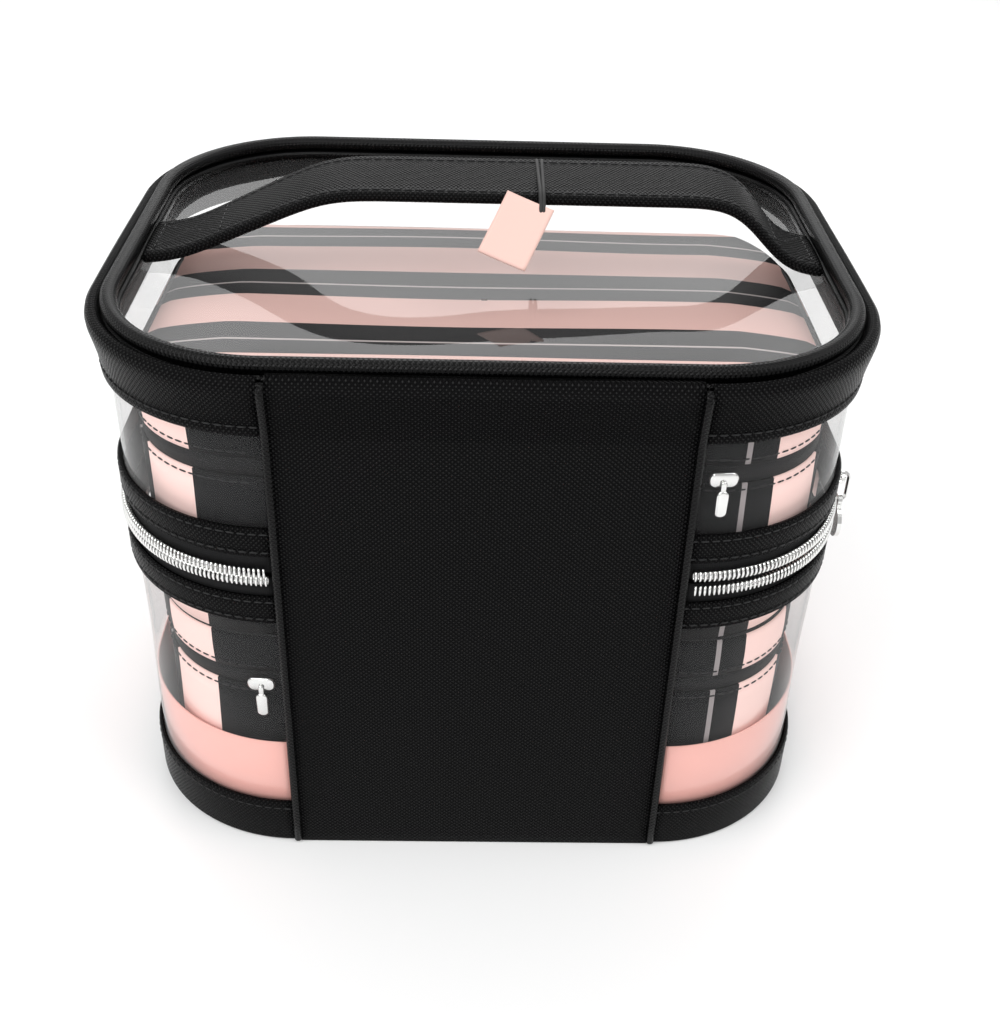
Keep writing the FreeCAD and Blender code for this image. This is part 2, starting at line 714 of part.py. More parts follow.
hang_tag = new_body("hang_tag")
tag_sketch = new_sketch(hang_tag, "XY_Plane")
tag_left = tag_margin - tag_width
tag_low = tag_margin - tag_length
draw_polygon(tag_sketch, [(tag_left, tag_low), (tag_margin, tag_low), (tag_margin, tag_margin), (tag_left, tag_margin)])
draw_circle(tag_sketch, zero, zero, loop_width * 0.75)
add_pad(hang_tag, tag_sketch, tag_thick)
tilt = FreeCAD.Rotation(Vector(1, 0, 0), tag_slope.value)
swing = FreeCAD.Rotation(Vector(0, 0, 1), -tag_turn.value)
hang_tag.Placement = FreeCAD.Placement(Vector(0, 0, 0), tilt.multiply(swing))
bind(hang_tag, "Placement.Base.x", tag_place)
bind(hang_tag, "Placement.Base.y", tag_y)
bind(hang_tag, "Placement.Base.z", strap_high - strap_thick)
finish(hang_tag)

# Two nested zip pouches, stacked on the bottom board toward the hinge side
pouch_half = wall_x - pouch_side_gap - pouch_radius
pouch_low = back_y + lining + pouch_back_gap + pouch_radius
pouch_high = pouch_low + pouch_depth - pouch_radius * 2


def pouch_part(label, low, high, hollow):
    """A pouch panel, or a ring of its side where hollow."""
    body = new_body(label)
    sketch = new_sketch(body, "XY_Plane", low)
    draw_soft_rectangle(sketch, pouch_half, pouch_low, pouch_high, pouch_radius)
    if hollow:
        draw_soft_rectangle(sketch, pouch_half, pouch_low, pouch_high, pouch_radius - pouch_thick)
    add_pad(body, sketch, high - low)
    finish(body)


def pouch(prefix, low, high, zip_z, side):
    """One pouch with its base, body, zip, rim and top, and a small pull flat on a chord of a back corner."""
    zip_low = zip_z - pouch_zip_width / 2
    zip_high = zip_z + pouch_zip_width / 2
    pouch_part(f"{prefix}_pouch_base", low, low + pouch_thick, False)
    pouch_part(f"{prefix}_pouch_body", low + pouch_thick, zip_low, True)
    pouch_part(f"{prefix}_pouch_zip", zip_low, zip_high, True)
    pouch_part(f"{prefix}_pouch_rim", zip_high, high - pouch_thick, True)
    pouch_part(f"{prefix}_pouch_top", high - pouch_thick, high, False)
    body = new_body(f"{prefix}_pouch_pull")
    sketch = new_sketch(body, "XY_Plane")
    half = pull_length / 6
    draw_polygon(sketch, [(-half, -pull_length), (half, -pull_length), (half, zero), (-half, zero)])
    add_pad(body, sketch, pouch_thick)
    turn = math.pi * 5 / 16
    out = Vector(side * math.cos(turn), -math.sin(turn), 0)
    reach = pouch_radius.value * math.cos(math.pi / 16) + seat_gap.value
    spot = Vector(pouch_half.value * side, pouch_low.value, zip_high.value) + out * reach
    across = Vector(0, 0, 1).cross(out)
    body.Placement = FreeCAD.Placement(spot, FreeCAD.Rotation(across, Vector(0, 0, 1), out, "ZYX"))
    finish(body)


pouch_top = window_base - pouch_headroom
pouch("lower", floor_top, pouch_split, pouch_split - pouch_zip_drop, -1)
pouch("upper", pouch_split, pouch_top, pouch_top - pouch_zip_drop, 1)

doc.recompute()
for item in doc.Objects:
    if "Invalid" in item.State or "Error" in item.State:
        raise RuntimeError(f"{item.Name} did not compute: {item.State}")
for item in finished:
    shape = item.Shape
    if shape.isNull() or not shape.isValid() or not shape.Solids:
        raise RuntimeError(f"{item.Label} has no valid solid")
    shape.exportStep(f"parts/{item.Label}.step")
    print(item.Label, len(shape.Solids), round(shape.Volume, 1))
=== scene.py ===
"""Studio scene of a clear makeup train case with a hinged lid and two nested pouches.

Places and sizes are millimetres in the frame's own axes, and every mesh is stored in metres.
"""

import logging
import math
from collections.abc import Callable, Sequence
from dataclasses import dataclass, field, replace
from enum import Enum

import bpy
import numpy as np
from mathutils import Matrix, Vector


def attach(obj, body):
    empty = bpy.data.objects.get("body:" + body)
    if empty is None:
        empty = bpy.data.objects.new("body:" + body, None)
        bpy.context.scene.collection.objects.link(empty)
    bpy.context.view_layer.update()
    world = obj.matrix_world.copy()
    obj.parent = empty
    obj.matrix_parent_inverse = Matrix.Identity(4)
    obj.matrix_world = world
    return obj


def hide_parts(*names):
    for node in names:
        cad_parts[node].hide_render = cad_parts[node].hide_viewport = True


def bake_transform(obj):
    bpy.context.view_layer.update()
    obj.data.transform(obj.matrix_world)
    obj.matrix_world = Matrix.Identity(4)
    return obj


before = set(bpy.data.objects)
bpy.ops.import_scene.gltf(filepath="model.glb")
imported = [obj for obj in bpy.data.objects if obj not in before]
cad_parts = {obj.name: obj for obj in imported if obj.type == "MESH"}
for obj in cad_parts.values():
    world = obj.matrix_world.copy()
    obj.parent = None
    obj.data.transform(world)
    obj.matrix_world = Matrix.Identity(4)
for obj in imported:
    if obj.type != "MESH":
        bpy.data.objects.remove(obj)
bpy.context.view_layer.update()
LOG = logging.getLogger("train_case")
MM = 0.001

Color = tuple[float, float, float]
Place = tuple[float, float, float]
Section = Sequence[tuple[float, float]]
Levels = Sequence[tuple[float, float, int]]
Wave = Callable[[np.ndarray, np.ndarray], np.ndarray]
Socket = bpy.types.NodeSocket
Tree = bpy.types.NodeTree


class Grain(Enum):
    """Surface relief that a finish carries."""

    NONE = "none"
    HATCH = "hatch"
    WEAVE = "weave"
    WRINKLE = "wrinkle"


class Print(Enum):
    """Colour layout of a finish."""

    PLAIN = "plain"
    STRIPES = "stripes"
    BLOCKS = "blocks"


class GroupMaker:
    """Builds the shader node groups that several finishes share."""

    HATCH_TURNS = (0.72, -0.72)
    HATCH_DRIFT = 1.2
    WEAVE_TURNS = (0.0, math.pi / 2)
    WEAVE_DRIFT = 0.3
    WRINKLE_DRIFT = 0.4
    LINE_PLACE = 1.45

    @staticmethod
    def start(name: str, inputs: Sequence[tuple[str, str]], outputs: Sequence[tuple[str, str]]) -> tuple:
        """Make an empty group.

        Args:
            name: Group name.
            inputs: Socket names and types going in.
            outputs: Socket names and types going out.

        Returns:
            The tree, its input node and its output node.
        """
        tree = bpy.data.node_groups.new(name, "ShaderNodeTree")
        for label, kind in inputs:
            tree.interface.new_socket(label, in_out="INPUT", socket_type=kind)
        for label, kind in outputs:
            tree.interface.new_socket(label, in_out="OUTPUT", socket_type=kind)
        return tree, tree.nodes.new("NodeGroupInput"), tree.nodes.new("NodeGroupOutput")

    @classmethod
    def relief(cls, grain: Grain) -> Tree:
        """Build the group that turns a surface place in metres into a bumped normal.

        Args:
            grain: Relief to make.

        Returns:
            The shared group, which also puts out the height.
        """
        name = f"relief_{grain.value}"
        if name in bpy.data.node_groups:
            return bpy.data.node_groups[name]
        tree, into, out = cls.start(
            name,
            [("Place", "NodeSocketVector"), ("Scale", "NodeSocketFloat"), ("Depth", "NodeSocketFloat")],
            [("Normal", "NodeSocketVector"), ("Height", "NodeSocketFloat")],
        )
        add, link = tree.nodes.new, tree.links.new
        if grain is Grain.WRINKLE:
            noise = add("ShaderNodeTexNoise")
            noise.inputs["Detail"].default_value = 0.0
            noise.inputs["Distortion"].default_value = cls.WRINKLE_DRIFT
            link(into.outputs["Place"], noise.inputs["Vector"])
            link(into.outputs["Scale"], noise.inputs["Scale"])
            height = noise.outputs["Fac"]
        else:
            hatched = grain is Grain.HATCH
            join = add("ShaderNodeMath")
            join.operation = "MINIMUM" if hatched else "MULTIPLY"
            for index, turn in enumerate(cls.HATCH_TURNS if hatched else cls.WEAVE_TURNS):
                mapping, wave = add("ShaderNodeMapping"), add("ShaderNodeTexWave")
                mapping.inputs["Rotation"].default_value = (0.0, 0.0, turn)
                wave.inputs["Distortion"].default_value = cls.HATCH_DRIFT if hatched else cls.WEAVE_DRIFT
                wave.inputs["Detail"].default_value = 1.0
                link(into.outputs["Place"], mapping.inputs["Vector"])
                link(mapping.outputs["Vector"], wave.inputs["Vector"])
                link(into.outputs["Scale"], wave.inputs["Scale"])
                link(wave.outputs["Fac"], join.inputs[index])
            height = join.outputs[0]
        bump = add("ShaderNodeBump")
        bump.inputs["Strength"].default_value = 1.0
        link(into.outputs["Depth"], bump.inputs["Distance"])
        link(height, bump.inputs["Height"])
        link(bump.outputs["Normal"], out.inputs["Normal"])
        link(height, out.inputs["Height"])
        return tree

    @classmethod
    def bands(cls) -> Tree:
        """Build the group that masks evenly spaced bands with a fine line beside each.

        Returns:
            The shared group.
        """
        name = "even_bands"
        if name in bpy.data.node_groups:
            return bpy.data.node_groups[name]
        tree, into, out = cls.start(
            name,
            [(label, "NodeSocketFloat") for label in ("Run", "Pitch", "Share", "Line")],
            [("Band", "NodeSocketFloat"), ("Thread", "NodeSocketFloat")],
        )

        def work(kind: str, one: Socket, two: Socket | float) -> Socket:
            """Add one math node.

            Args:
                kind: Operation.
                one: First operand.
                two: Second operand.

            Returns:
                The result's socket.
            """
            node = tree.nodes.new("ShaderNodeMath")
            node.operation = kind
            tree.links.new(one, node.inputs[0])
            if isinstance(two, float):
                node.inputs[1].default_value = two
            else:
                tree.links.new(two, node.inputs[1])
            return node.outputs[0]

        run, pitch, share, line = (into.outputs[label] for label in ("Run", "Pitch", "Share", "Line"))
        part = work("FLOORED_MODULO", work("DIVIDE", run, pitch), 1.0)
        gap = work("SUBTRACT", part, work("MULTIPLY", share, cls.LINE_PLACE))
        tree.links.new(work("LESS_THAN", part, share), out.inputs["Band"])
        tree.links.new(work("LESS_THAN", work("ABSOLUTE", gap, 0.0), line), out.inputs["Thread"])
        return tree


@dataclass(frozen=True)
class Finish:
    """One surface finish: colours, gloss, relief and print."""

    EDGE_BEND = 4.0
    # Exponent that narrows the painted ridge highlight to the tops of the ridges.
    HIGHLIGHT_BEND = 2.5
    COAT_ROUGHNESS = 0.08

    name: str
    color: Color
    roughness: float
    metallic: float = 0.0
    specular: float = 0.5
    ior: float = 1.5
    alpha: float = 1.0
    edge_alpha: float = 0.0
    coat: float = 0.0
    grain: Grain = Grain.NONE
    scale: float = 300.0
    depth: float = 0.0001
    # Grey of the painted highlight laid on the grain's ridges in place of glints, zero for none.
    ridge_highlight: float = 0.0
    layout: Print = Print.PLAIN
    second: Color = (0.02, 0.02, 0.022)
    thread: Color = (0.3, 0.28, 0.28)
    pitch: float = 0.03
    share: float = 0.5
    phase: float = 0.0
    line: float = 0.012
    by_object: bool = False

    def material(self) -> bpy.types.Material:
        """Build the material once.

        Returns:
            The material of this finish.
        """
        if self.name in bpy.data.materials:
            return bpy.data.materials[self.name]
        made = bpy.data.materials.new(self.name)
        made.use_nodes = True
        made.diffuse_color = (*self.color, self.alpha)
        tree = made.node_tree
        shader = next(node for node in tree.nodes if node.type == "BSDF_PRINCIPLED")
        values = {
            "Base Color": (*self.color, 1.0),
            "Roughness": self.roughness,
            "Metallic": self.metallic,
            "IOR": self.ior,
            "Specular IOR Level": self.specular,
            "Alpha": self.alpha,
            "Coat Weight": self.coat,
            "Coat Roughness": self.COAT_ROUGHNESS,
        }
        for label, value in values.items():
            shader.inputs[label].default_value = value
        if self.edge_alpha:
            self.thicken_edge(tree, shader)
        if self.grain is not Grain.NONE:
            self.raise_grain(tree, shader)
        if self.layout is not Print.PLAIN:
            self.lay_print(tree, shader)
        return made

    def place(self, tree: Tree) -> Socket:
        """Return the socket that gives a surface place in metres."""
        return tree.nodes.new("ShaderNodeTexCoord").outputs["Object" if self.by_object else "UV"]

    @staticmethod
    def power(tree: Tree, value: Socket, bend: float) -> Socket:
        """Raise a value to a power.

        Args:
            tree: Node tree of the material.
            value: Socket of the value.
            bend: Exponent.

        Returns:
            The result's socket.
        """
        node = tree.nodes.new("ShaderNodeMath")
        node.operation = "POWER"
        node.inputs[1].default_value = bend
        tree.links.new(value, node.inputs[0])
        return node.outputs[0]

    @staticmethod
    def mix(tree: Tree, share: Socket, first: Color | Socket, second: Color) -> Socket:
        """Mix two colours.

        Args:
            tree: Node tree of the material.
            share: Socket that gives the share of the second colour.
            first: First colour, or the socket that gives it.
            second: Second colour.

        Returns:
            The mixed colour's socket.
        """
        node = tree.nodes.new("ShaderNodeMix")
        node.data_type = "RGBA"
        tree.links.new(share, node.inputs[0])
        ends = [socket for socket in node.inputs if socket.type == "RGBA"]
        for socket, item in zip(ends, (first, second)):
            if isinstance(item, tuple):
                socket.default_value = (*item, 1.0)
            else:
                tree.links.new(item, socket)
        return next(socket for socket in node.outputs if socket.type == "RGBA")

    def thicken_edge(self, tree: Tree, shader: bpy.types.Node) -> None:
        """Make a clear sheet denser where it is seen at a slant.

        Args:
            tree: Node tree of the material.
            shader: Its Principled BSDF.
        """
        facing, blend = tree.nodes.new("ShaderNodeLayerWeight"), tree.nodes.new("ShaderNodeMapRange")
        blend.inputs["To Min"].default_value = self.alpha
        blend.inputs["To Max"].default_value = self.edge_alpha
        tree.links.new(self.power(tree, facing.outputs["Facing"], self.EDGE_BEND), blend.inputs["Value"])
        tree.links.new(blend.outputs["Result"], shader.inputs["Alpha"])

    def raise_grain(self, tree: Tree, shader: bpy.types.Node) -> None:
        """Add the relief, with a painted highlight on its ridges where the finish has one, standing in for
        glints.

        Args:
            tree: Node tree of the material.
            shader: Its Principled BSDF.
        """
        relief = tree.nodes.new("ShaderNodeGroup")
        relief.node_tree = GroupMaker.relief(self.grain)
        relief.inputs["Scale"].default_value = self.scale
        relief.inputs["Depth"].default_value = self.depth
        tree.links.new(self.place(tree), relief.inputs["Place"])
        tree.links.new(relief.outputs["Normal"], shader.inputs["Normal"])
        # Painted highlight: the ridges' base colour is lightened towards a grey, standing in for glints.
        if self.ridge_highlight:
            share = self.power(tree, relief.outputs["Height"], self.HIGHLIGHT_BEND)
            highlighted_tone = self.mix(tree, share, self.color, (self.ridge_highlight, self.ridge_highlight, self.ridge_highlight))
            tree.links.new(highlighted_tone, shader.inputs["Base Color"])

    def lay_print(self, tree: Tree, shader: bpy.types.Node) -> None:
        """Add the bands of colour and the fine line beside each.

        Args:
            tree: Node tree of the material.
            shader: Its Principled BSDF.
        """
        split, shift = tree.nodes.new("ShaderNodeSeparateXYZ"), tree.nodes.new("ShaderNodeMath")
        shift.operation = "SUBTRACT"
        shift.inputs[1].default_value = self.phase
        bands = tree.nodes.new("ShaderNodeGroup")
        bands.node_tree = GroupMaker.bands()
        for label, value in (("Pitch", self.pitch), ("Share", self.share), ("Line", self.line)):
            bands.inputs[label].default_value = value
        tree.links.new(self.place(tree), split.inputs[0])
        tree.links.new(split.outputs["Y" if self.layout is Print.STRIPES else "X"], shift.inputs[0])
        tree.links.new(shift.outputs[0], bands.inputs["Run"])
        banded = self.mix(tree, bands.outputs["Band"], self.second, self.color)
        lined = self.mix(tree, bands.outputs["Thread"], banded, self.thread)
        tree.links.new(lined, shader.inputs["Base Color"])


# GRAIN and STRAP, which copies it, paint a pale highlight on the grain's ridges in place of glints; ROLL has
# none.
GRAIN = Finish(
    "grained_black", (0.002, 0.002, 0.0022), 0.27, specular=0.035,
    grain=Grain.HATCH, scale=262.0, depth=0.0005, ridge_highlight=0.024,
)
ROLL = replace(
    GRAIN, name="grained_roll", color=(0.001, 0.001, 0.0011), roughness=0.26, specular=0.15,
    depth=0.00015, ridge_highlight=0.0,
)
STRAP = replace(GRAIN, name="strap_black", color=(0.0025, 0.0025, 0.0027), roughness=0.32, specular=0.06)
CLEAR = Finish(
    "clear_sheet", (0.06, 0.06, 0.06), 0.03, ior=3.4, alpha=0.16, edge_alpha=0.9,
    grain=Grain.WRINKLE, scale=12.0, depth=0.0005,
)
CLEAR_SIDE = replace(
    CLEAR, name="clear_wall", color=(0.45, 0.45, 0.45), roughness=0.06, ior=1.7, alpha=0.035, edge_alpha=0.95,
)
ROSE = Finish(
    "rose_sheet", (0.86, 0.44, 0.385), 0.28, coat=0.5, grain=Grain.WRINKLE, scale=18.0, depth=0.0008,
)
TAPE = Finish(
    "woven_tape", (0.006, 0.006, 0.0065), 0.75, specular=0.2, grain=Grain.WEAVE, scale=420.0, depth=0.00012,
)
COIL = Finish("silver_coil", (0.80, 0.80, 0.80), 0.22, metallic=1.0)
METAL = Finish("bright_metal", (0.86, 0.86, 0.86), 0.16, metallic=1.0)
GLOSS = Finish("black_gloss", (0.012, 0.012, 0.013), 0.12, coat=0.6)
BOARD = Finish("black_board", (0.008, 0.008, 0.0085), 0.7, specular=0.2)
THREAD = Finish("dark_thread", (0.006, 0.006, 0.0065), 0.5, specular=0.3)
ELASTIC = Finish("black_elastic", (0.012, 0.012, 0.012), 0.65)
CARD = Finish("pale_card", (0.76, 0.50, 0.44), 0.5)
POUCH_TOP = Finish(
    "pouch_stripes", (0.78, 0.50, 0.45), 0.45, specular=0.1, layout=Print.STRIPES,
    second=(0.004, 0.004, 0.0045), thread=(0.50, 0.44, 0.43), pitch=0.043, share=0.5, by_object=True,
)
POUCH_SIDE = Finish(
    "pouch_blocks", (0.93, 0.66, 0.61), 0.5, specular=0.08, layout=Print.BLOCKS,
    second=(0.004, 0.004, 0.0045), thread=(0.3, 0.27, 0.27), pitch=0.0792, share=0.3, phase=0.020,
)
POUCH_DARK = Finish(
    "pouch_dark", (0.006, 0.006, 0.0065), 0.5, specular=0.25, grain=Grain.HATCH, scale=330.0, depth=0.0001,
)
FLOOR = Finish("pale_floor", (0.86, 0.86, 0.86), 0.7)


@dataclass(frozen=True)
class Ripple:
    """One soft wave over a surface: its height and its two lengths, in millimetres."""

    size: float
    first: float
    second: float
    phase: float = 0.0

    def at(self, one: np.ndarray, two: np.ndarray | float) -> np.ndarray:
        """Return the wave's height at places along both runs."""
        return self.size * np.sin(one / self.first + two / self.second + self.phase)


class Shapes:
    """Makes plain meshes from grids of points."""

    ASIDE = (0.31, 0.52, 0.79)

    @staticmethod
    def turns(count: int) -> np.ndarray:
        """Return evenly spaced angles round a circle."""
        return np.linspace(0.0, 2 * math.pi, count, endpoint=False)

    @staticmethod
    def runs(points: np.ndarray, closed: bool) -> np.ndarray:
        """Return distances along a line of points, with the closing one where closed."""
        line = np.vstack([points, points[:1]]) if closed else points
        return np.concatenate([[0.0], np.cumsum(np.linalg.norm(np.diff(line, axis=0), axis=1))])

    @staticmethod
    def along(stops: np.ndarray, run: np.ndarray, points: np.ndarray) -> np.ndarray:
        """Return the points at given distances along a line."""
        return np.stack([np.interp(stops, run, points[:, axis]) for axis in range(points.shape[1])], 1)

    @staticmethod
    def grid(
        name: str, points: np.ndarray, along: np.ndarray, across: np.ndarray,
        wrap: tuple[bool, bool] = (False, False), capped: bool = False,
    ) -> bpy.types.Object:
        """Join a grid of points into quads whose fronts face the section's outside.

        Args:
            name: Object name.
            points: Places in millimetres, indexed by path, section and axis.
            along: Path run for each path line, one more when the path closes.
            across: Section run for each section line, one more when the section closes.
            wrap: Whether the path and the section close on themselves.
            capped: Whether both path ends of a closed section are filled.

        Returns:
            The linked object.
        """
        rows, cols = points.shape[:2]
        lines = np.arange(rows if wrap[0] else rows - 1)
        spots = np.arange(cols if wrap[1] else cols - 1)
        i, j = (item.ravel() for item in np.meshgrid(lines, spots, indexing="ij"))
        i2, j2 = (i + 1) % rows, (j + 1) % cols
        faces = np.stack([i * cols + j, i * cols + j2, i2 * cols + j2, i2 * cols + j], axis=1).tolist()
        u, v = np.asarray(along) * MM, np.asarray(across) * MM
        corners = np.stack(
            [np.stack([u[i], v[j]], 1), np.stack([u[i], v[j + 1]], 1),
             np.stack([u[i + 1], v[j + 1]], 1), np.stack([u[i + 1], v[j]], 1)], axis=1,
        ).reshape(-1, 2)
        if capped:
            first = list(range(cols))
            faces += [first[::-1], [(rows - 1) * cols + spot for spot in first]]
            flat = np.stack([v[:cols], np.zeros(cols)], 1)
            corners = np.concatenate([corners, flat[::-1], flat])
        mesh = bpy.data.meshes.new(name)
        mesh.from_pydata((points.reshape(-1, 3) * MM).tolist(), [], faces)
        layer = mesh.uv_layers.new(name="UVMap")
        layer.data.foreach_set("uv", corners.astype(np.float32).ravel())
        mesh.polygons.foreach_set("use_smooth", [True] * len(mesh.polygons))
        mesh.update()
        made = bpy.data.objects.new(name, mesh)
        bpy.context.scene.collection.objects.link(made)
        return made

    @classmethod
    def tube(
        cls, name: str, path: np.ndarray, radius: float, closed: bool = False, sides: int = 10,
    ) -> bpy.types.Object:
        """Sweep a round section along a path.

        Args:
            name: Object name.
            path: Places in millimetres.
            radius: Tube radius in millimetres.
            closed: Whether the path closes.
            sides: Sides of the section.

        Returns:
            The linked tube.
        """
        if closed:
            tangents = np.roll(path, -1, axis=0) - np.roll(path, 1, axis=0)
        else:
            tangents = np.gradient(path, axis=0)
        tangents /= np.linalg.norm(tangents, axis=1)[:, None]
        side = np.cross(tangents[0], cls.ASIDE)
        turns = cls.turns(sides)
        rings = []
        for place, tangent in zip(path, tangents):
            side = side - tangent * side.dot(tangent)
            side /= np.linalg.norm(side)
            other = np.cross(tangent, side)
            rings.append(place + radius * (np.cos(turns)[:, None] * side + np.sin(turns)[:, None] * other))
        across = np.linspace(0.0, 2 * math.pi * radius, sides + 1)
        return cls.grid(name, np.array(rings), cls.runs(path, closed), across, (closed, True), not closed)


@dataclass(frozen=True)
class Outline:
    """A plan outline with round corners, in millimetres, run clockwise from the back left."""

    STEP = 3.0
    DISC_STEP = 4.0
    DISC_EYE = 0.01

    half_x: float = 66.5
    half_y: float = 43.5
    radius: float = 57.0
    centre_y: float = 0.0

    def samples(self, step: float, closed: bool) -> tuple[np.ndarray, np.ndarray, np.ndarray]:
        """Sample the outline.

        Args:
            step: Wanted spacing.
            closed: Whether the back straight is included.

        Returns:
            Corner-centre places, outward directions, and the run along the outline.
        """
        bases, outs = [], []
        corners = ((-1, -1), (-1, 1), (1, 1), (1, -1))
        for index, (sx, sy) in enumerate(corners):
            here = np.array([sx * self.half_x, sy * self.half_y + self.centre_y])
            count = max(4, round(self.radius * math.pi / 2 / step))
            for part in range(count):
                turn = math.radians(270 - 90 * index) - math.pi / 2 * part / count
                bases.append(here)
                outs.append((math.cos(turn), math.sin(turn)))
            turn = math.radians(180 - 90 * index)
            nx, ny = corners[(index + 1) % 4]
            there = np.array([nx * self.half_x, ny * self.half_y + self.centre_y])
            if index == 3 and not closed:
                bases.append(here)
                outs.append((math.cos(turn), math.sin(turn)))
                break
            count = max(1, round(np.linalg.norm(there - here) / step))
            for part in range(count):
                bases.append(here + (there - here) * part / count)
                outs.append((math.cos(turn), math.sin(turn)))
        bases, outs = np.array(bases), np.array(outs)
        return bases, outs, Shapes.runs(bases + outs * self.radius, closed)

    def sweep(
        self, name: str, section: Section, closed: bool = False,
        sheet: bool = False, wave: Wave | None = None,
    ) -> bpy.types.Object:
        """Sweep a section of (offset, height) points round the outline.

        Args:
            name: Object name.
            section: Points, anticlockwise, or upward for a sheet.
            closed: Whether the sweep also runs along the back.
            sheet: Whether the section is one open layer.
            wave: Extra offset by run and height.

        Returns:
            The linked object.
        """
        bases, outs, run = self.samples(self.STEP, closed)
        shape = np.array(section, dtype=float)
        reach = np.broadcast_to(self.radius + shape[:, 0], (len(bases), len(shape))).copy()
        high = np.broadcast_to(shape[:, 1], reach.shape)
        if wave is not None:
            reach += wave(run[: len(bases), None], high)
        flat = bases[:, None, :] + outs[:, None, :] * reach[:, :, None]
        points = np.concatenate([flat, high[:, :, None]], axis=2)
        across = Shapes.runs(shape, not sheet)
        return Shapes.grid(name, points, run, across, (closed, not sheet), not closed and not sheet)

    def disc(self, name: str, offset: float, height: Wave, rings: int = 26) -> bpy.types.Object:
        """Fill the outline with one layer whose height follows a rule.

        Args:
            name: Object name.
            offset: Outline offset.
            height: Height by X and Y.
            rings: Rings between rim and middle.

        Returns:
            The linked object.
        """
        bases, outs, run = self.samples(self.DISC_STEP, True)
        rim = bases + outs * (self.radius + offset)
        middle = np.array([0.0, self.centre_y])
        shares = np.linspace(1.0, self.DISC_EYE, rings)
        flat = middle + (rim - middle)[:, None, :] * shares[None, :, None]
        points = np.concatenate([flat, height(flat[:, :, 0], flat[:, :, 1])[:, :, None]], axis=2)
        made = Shapes.grid(name, points, run, (1 - shares) * self.radius, (True, False))
        mesh = made.data
        places = np.empty(len(mesh.vertices) * 3)
        mesh.vertices.foreach_get("co", places)
        corners = np.empty(len(mesh.loops), dtype=int)
        mesh.loops.foreach_get("vertex_index", corners)
        flat_map = places.reshape(-1, 3)[corners, :2].astype(np.float32)
        mesh.uv_layers[0].data.foreach_set("uv", flat_map.ravel())
        return made


def put(
    made: bpy.types.Object, finish: Finish, body: str, replaces: Sequence[str] = (),
) -> None:
    """Dress a made object, hang it on a body and log it.

    Args:
        made: The object.
        finish: Its finish.
        body: Body that it rides on, empty for none.
        replaces: Hidden nodes that it stands for.
    """
    if not made.data.materials:
        made.data.materials.append(finish.material())
    if body:
        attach(made, body)
    if replaces:
        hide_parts(*replaces)
    LOG.info("%s: %d faces on %s", made.name, len(made.data.polygons), body or "two bodies")


def dress(name: str, finish: Finish) -> bpy.types.Object:
    """Give a CAD node that stays in view its finish.

    Args:
        name: Node name.
        finish: Its finish.

    Returns:
        The node's object.
    """
    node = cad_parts[name]
    node.data.materials.clear()
    node.data.materials.append(finish.material())
    LOG.info("%s dressed", name)
    return node


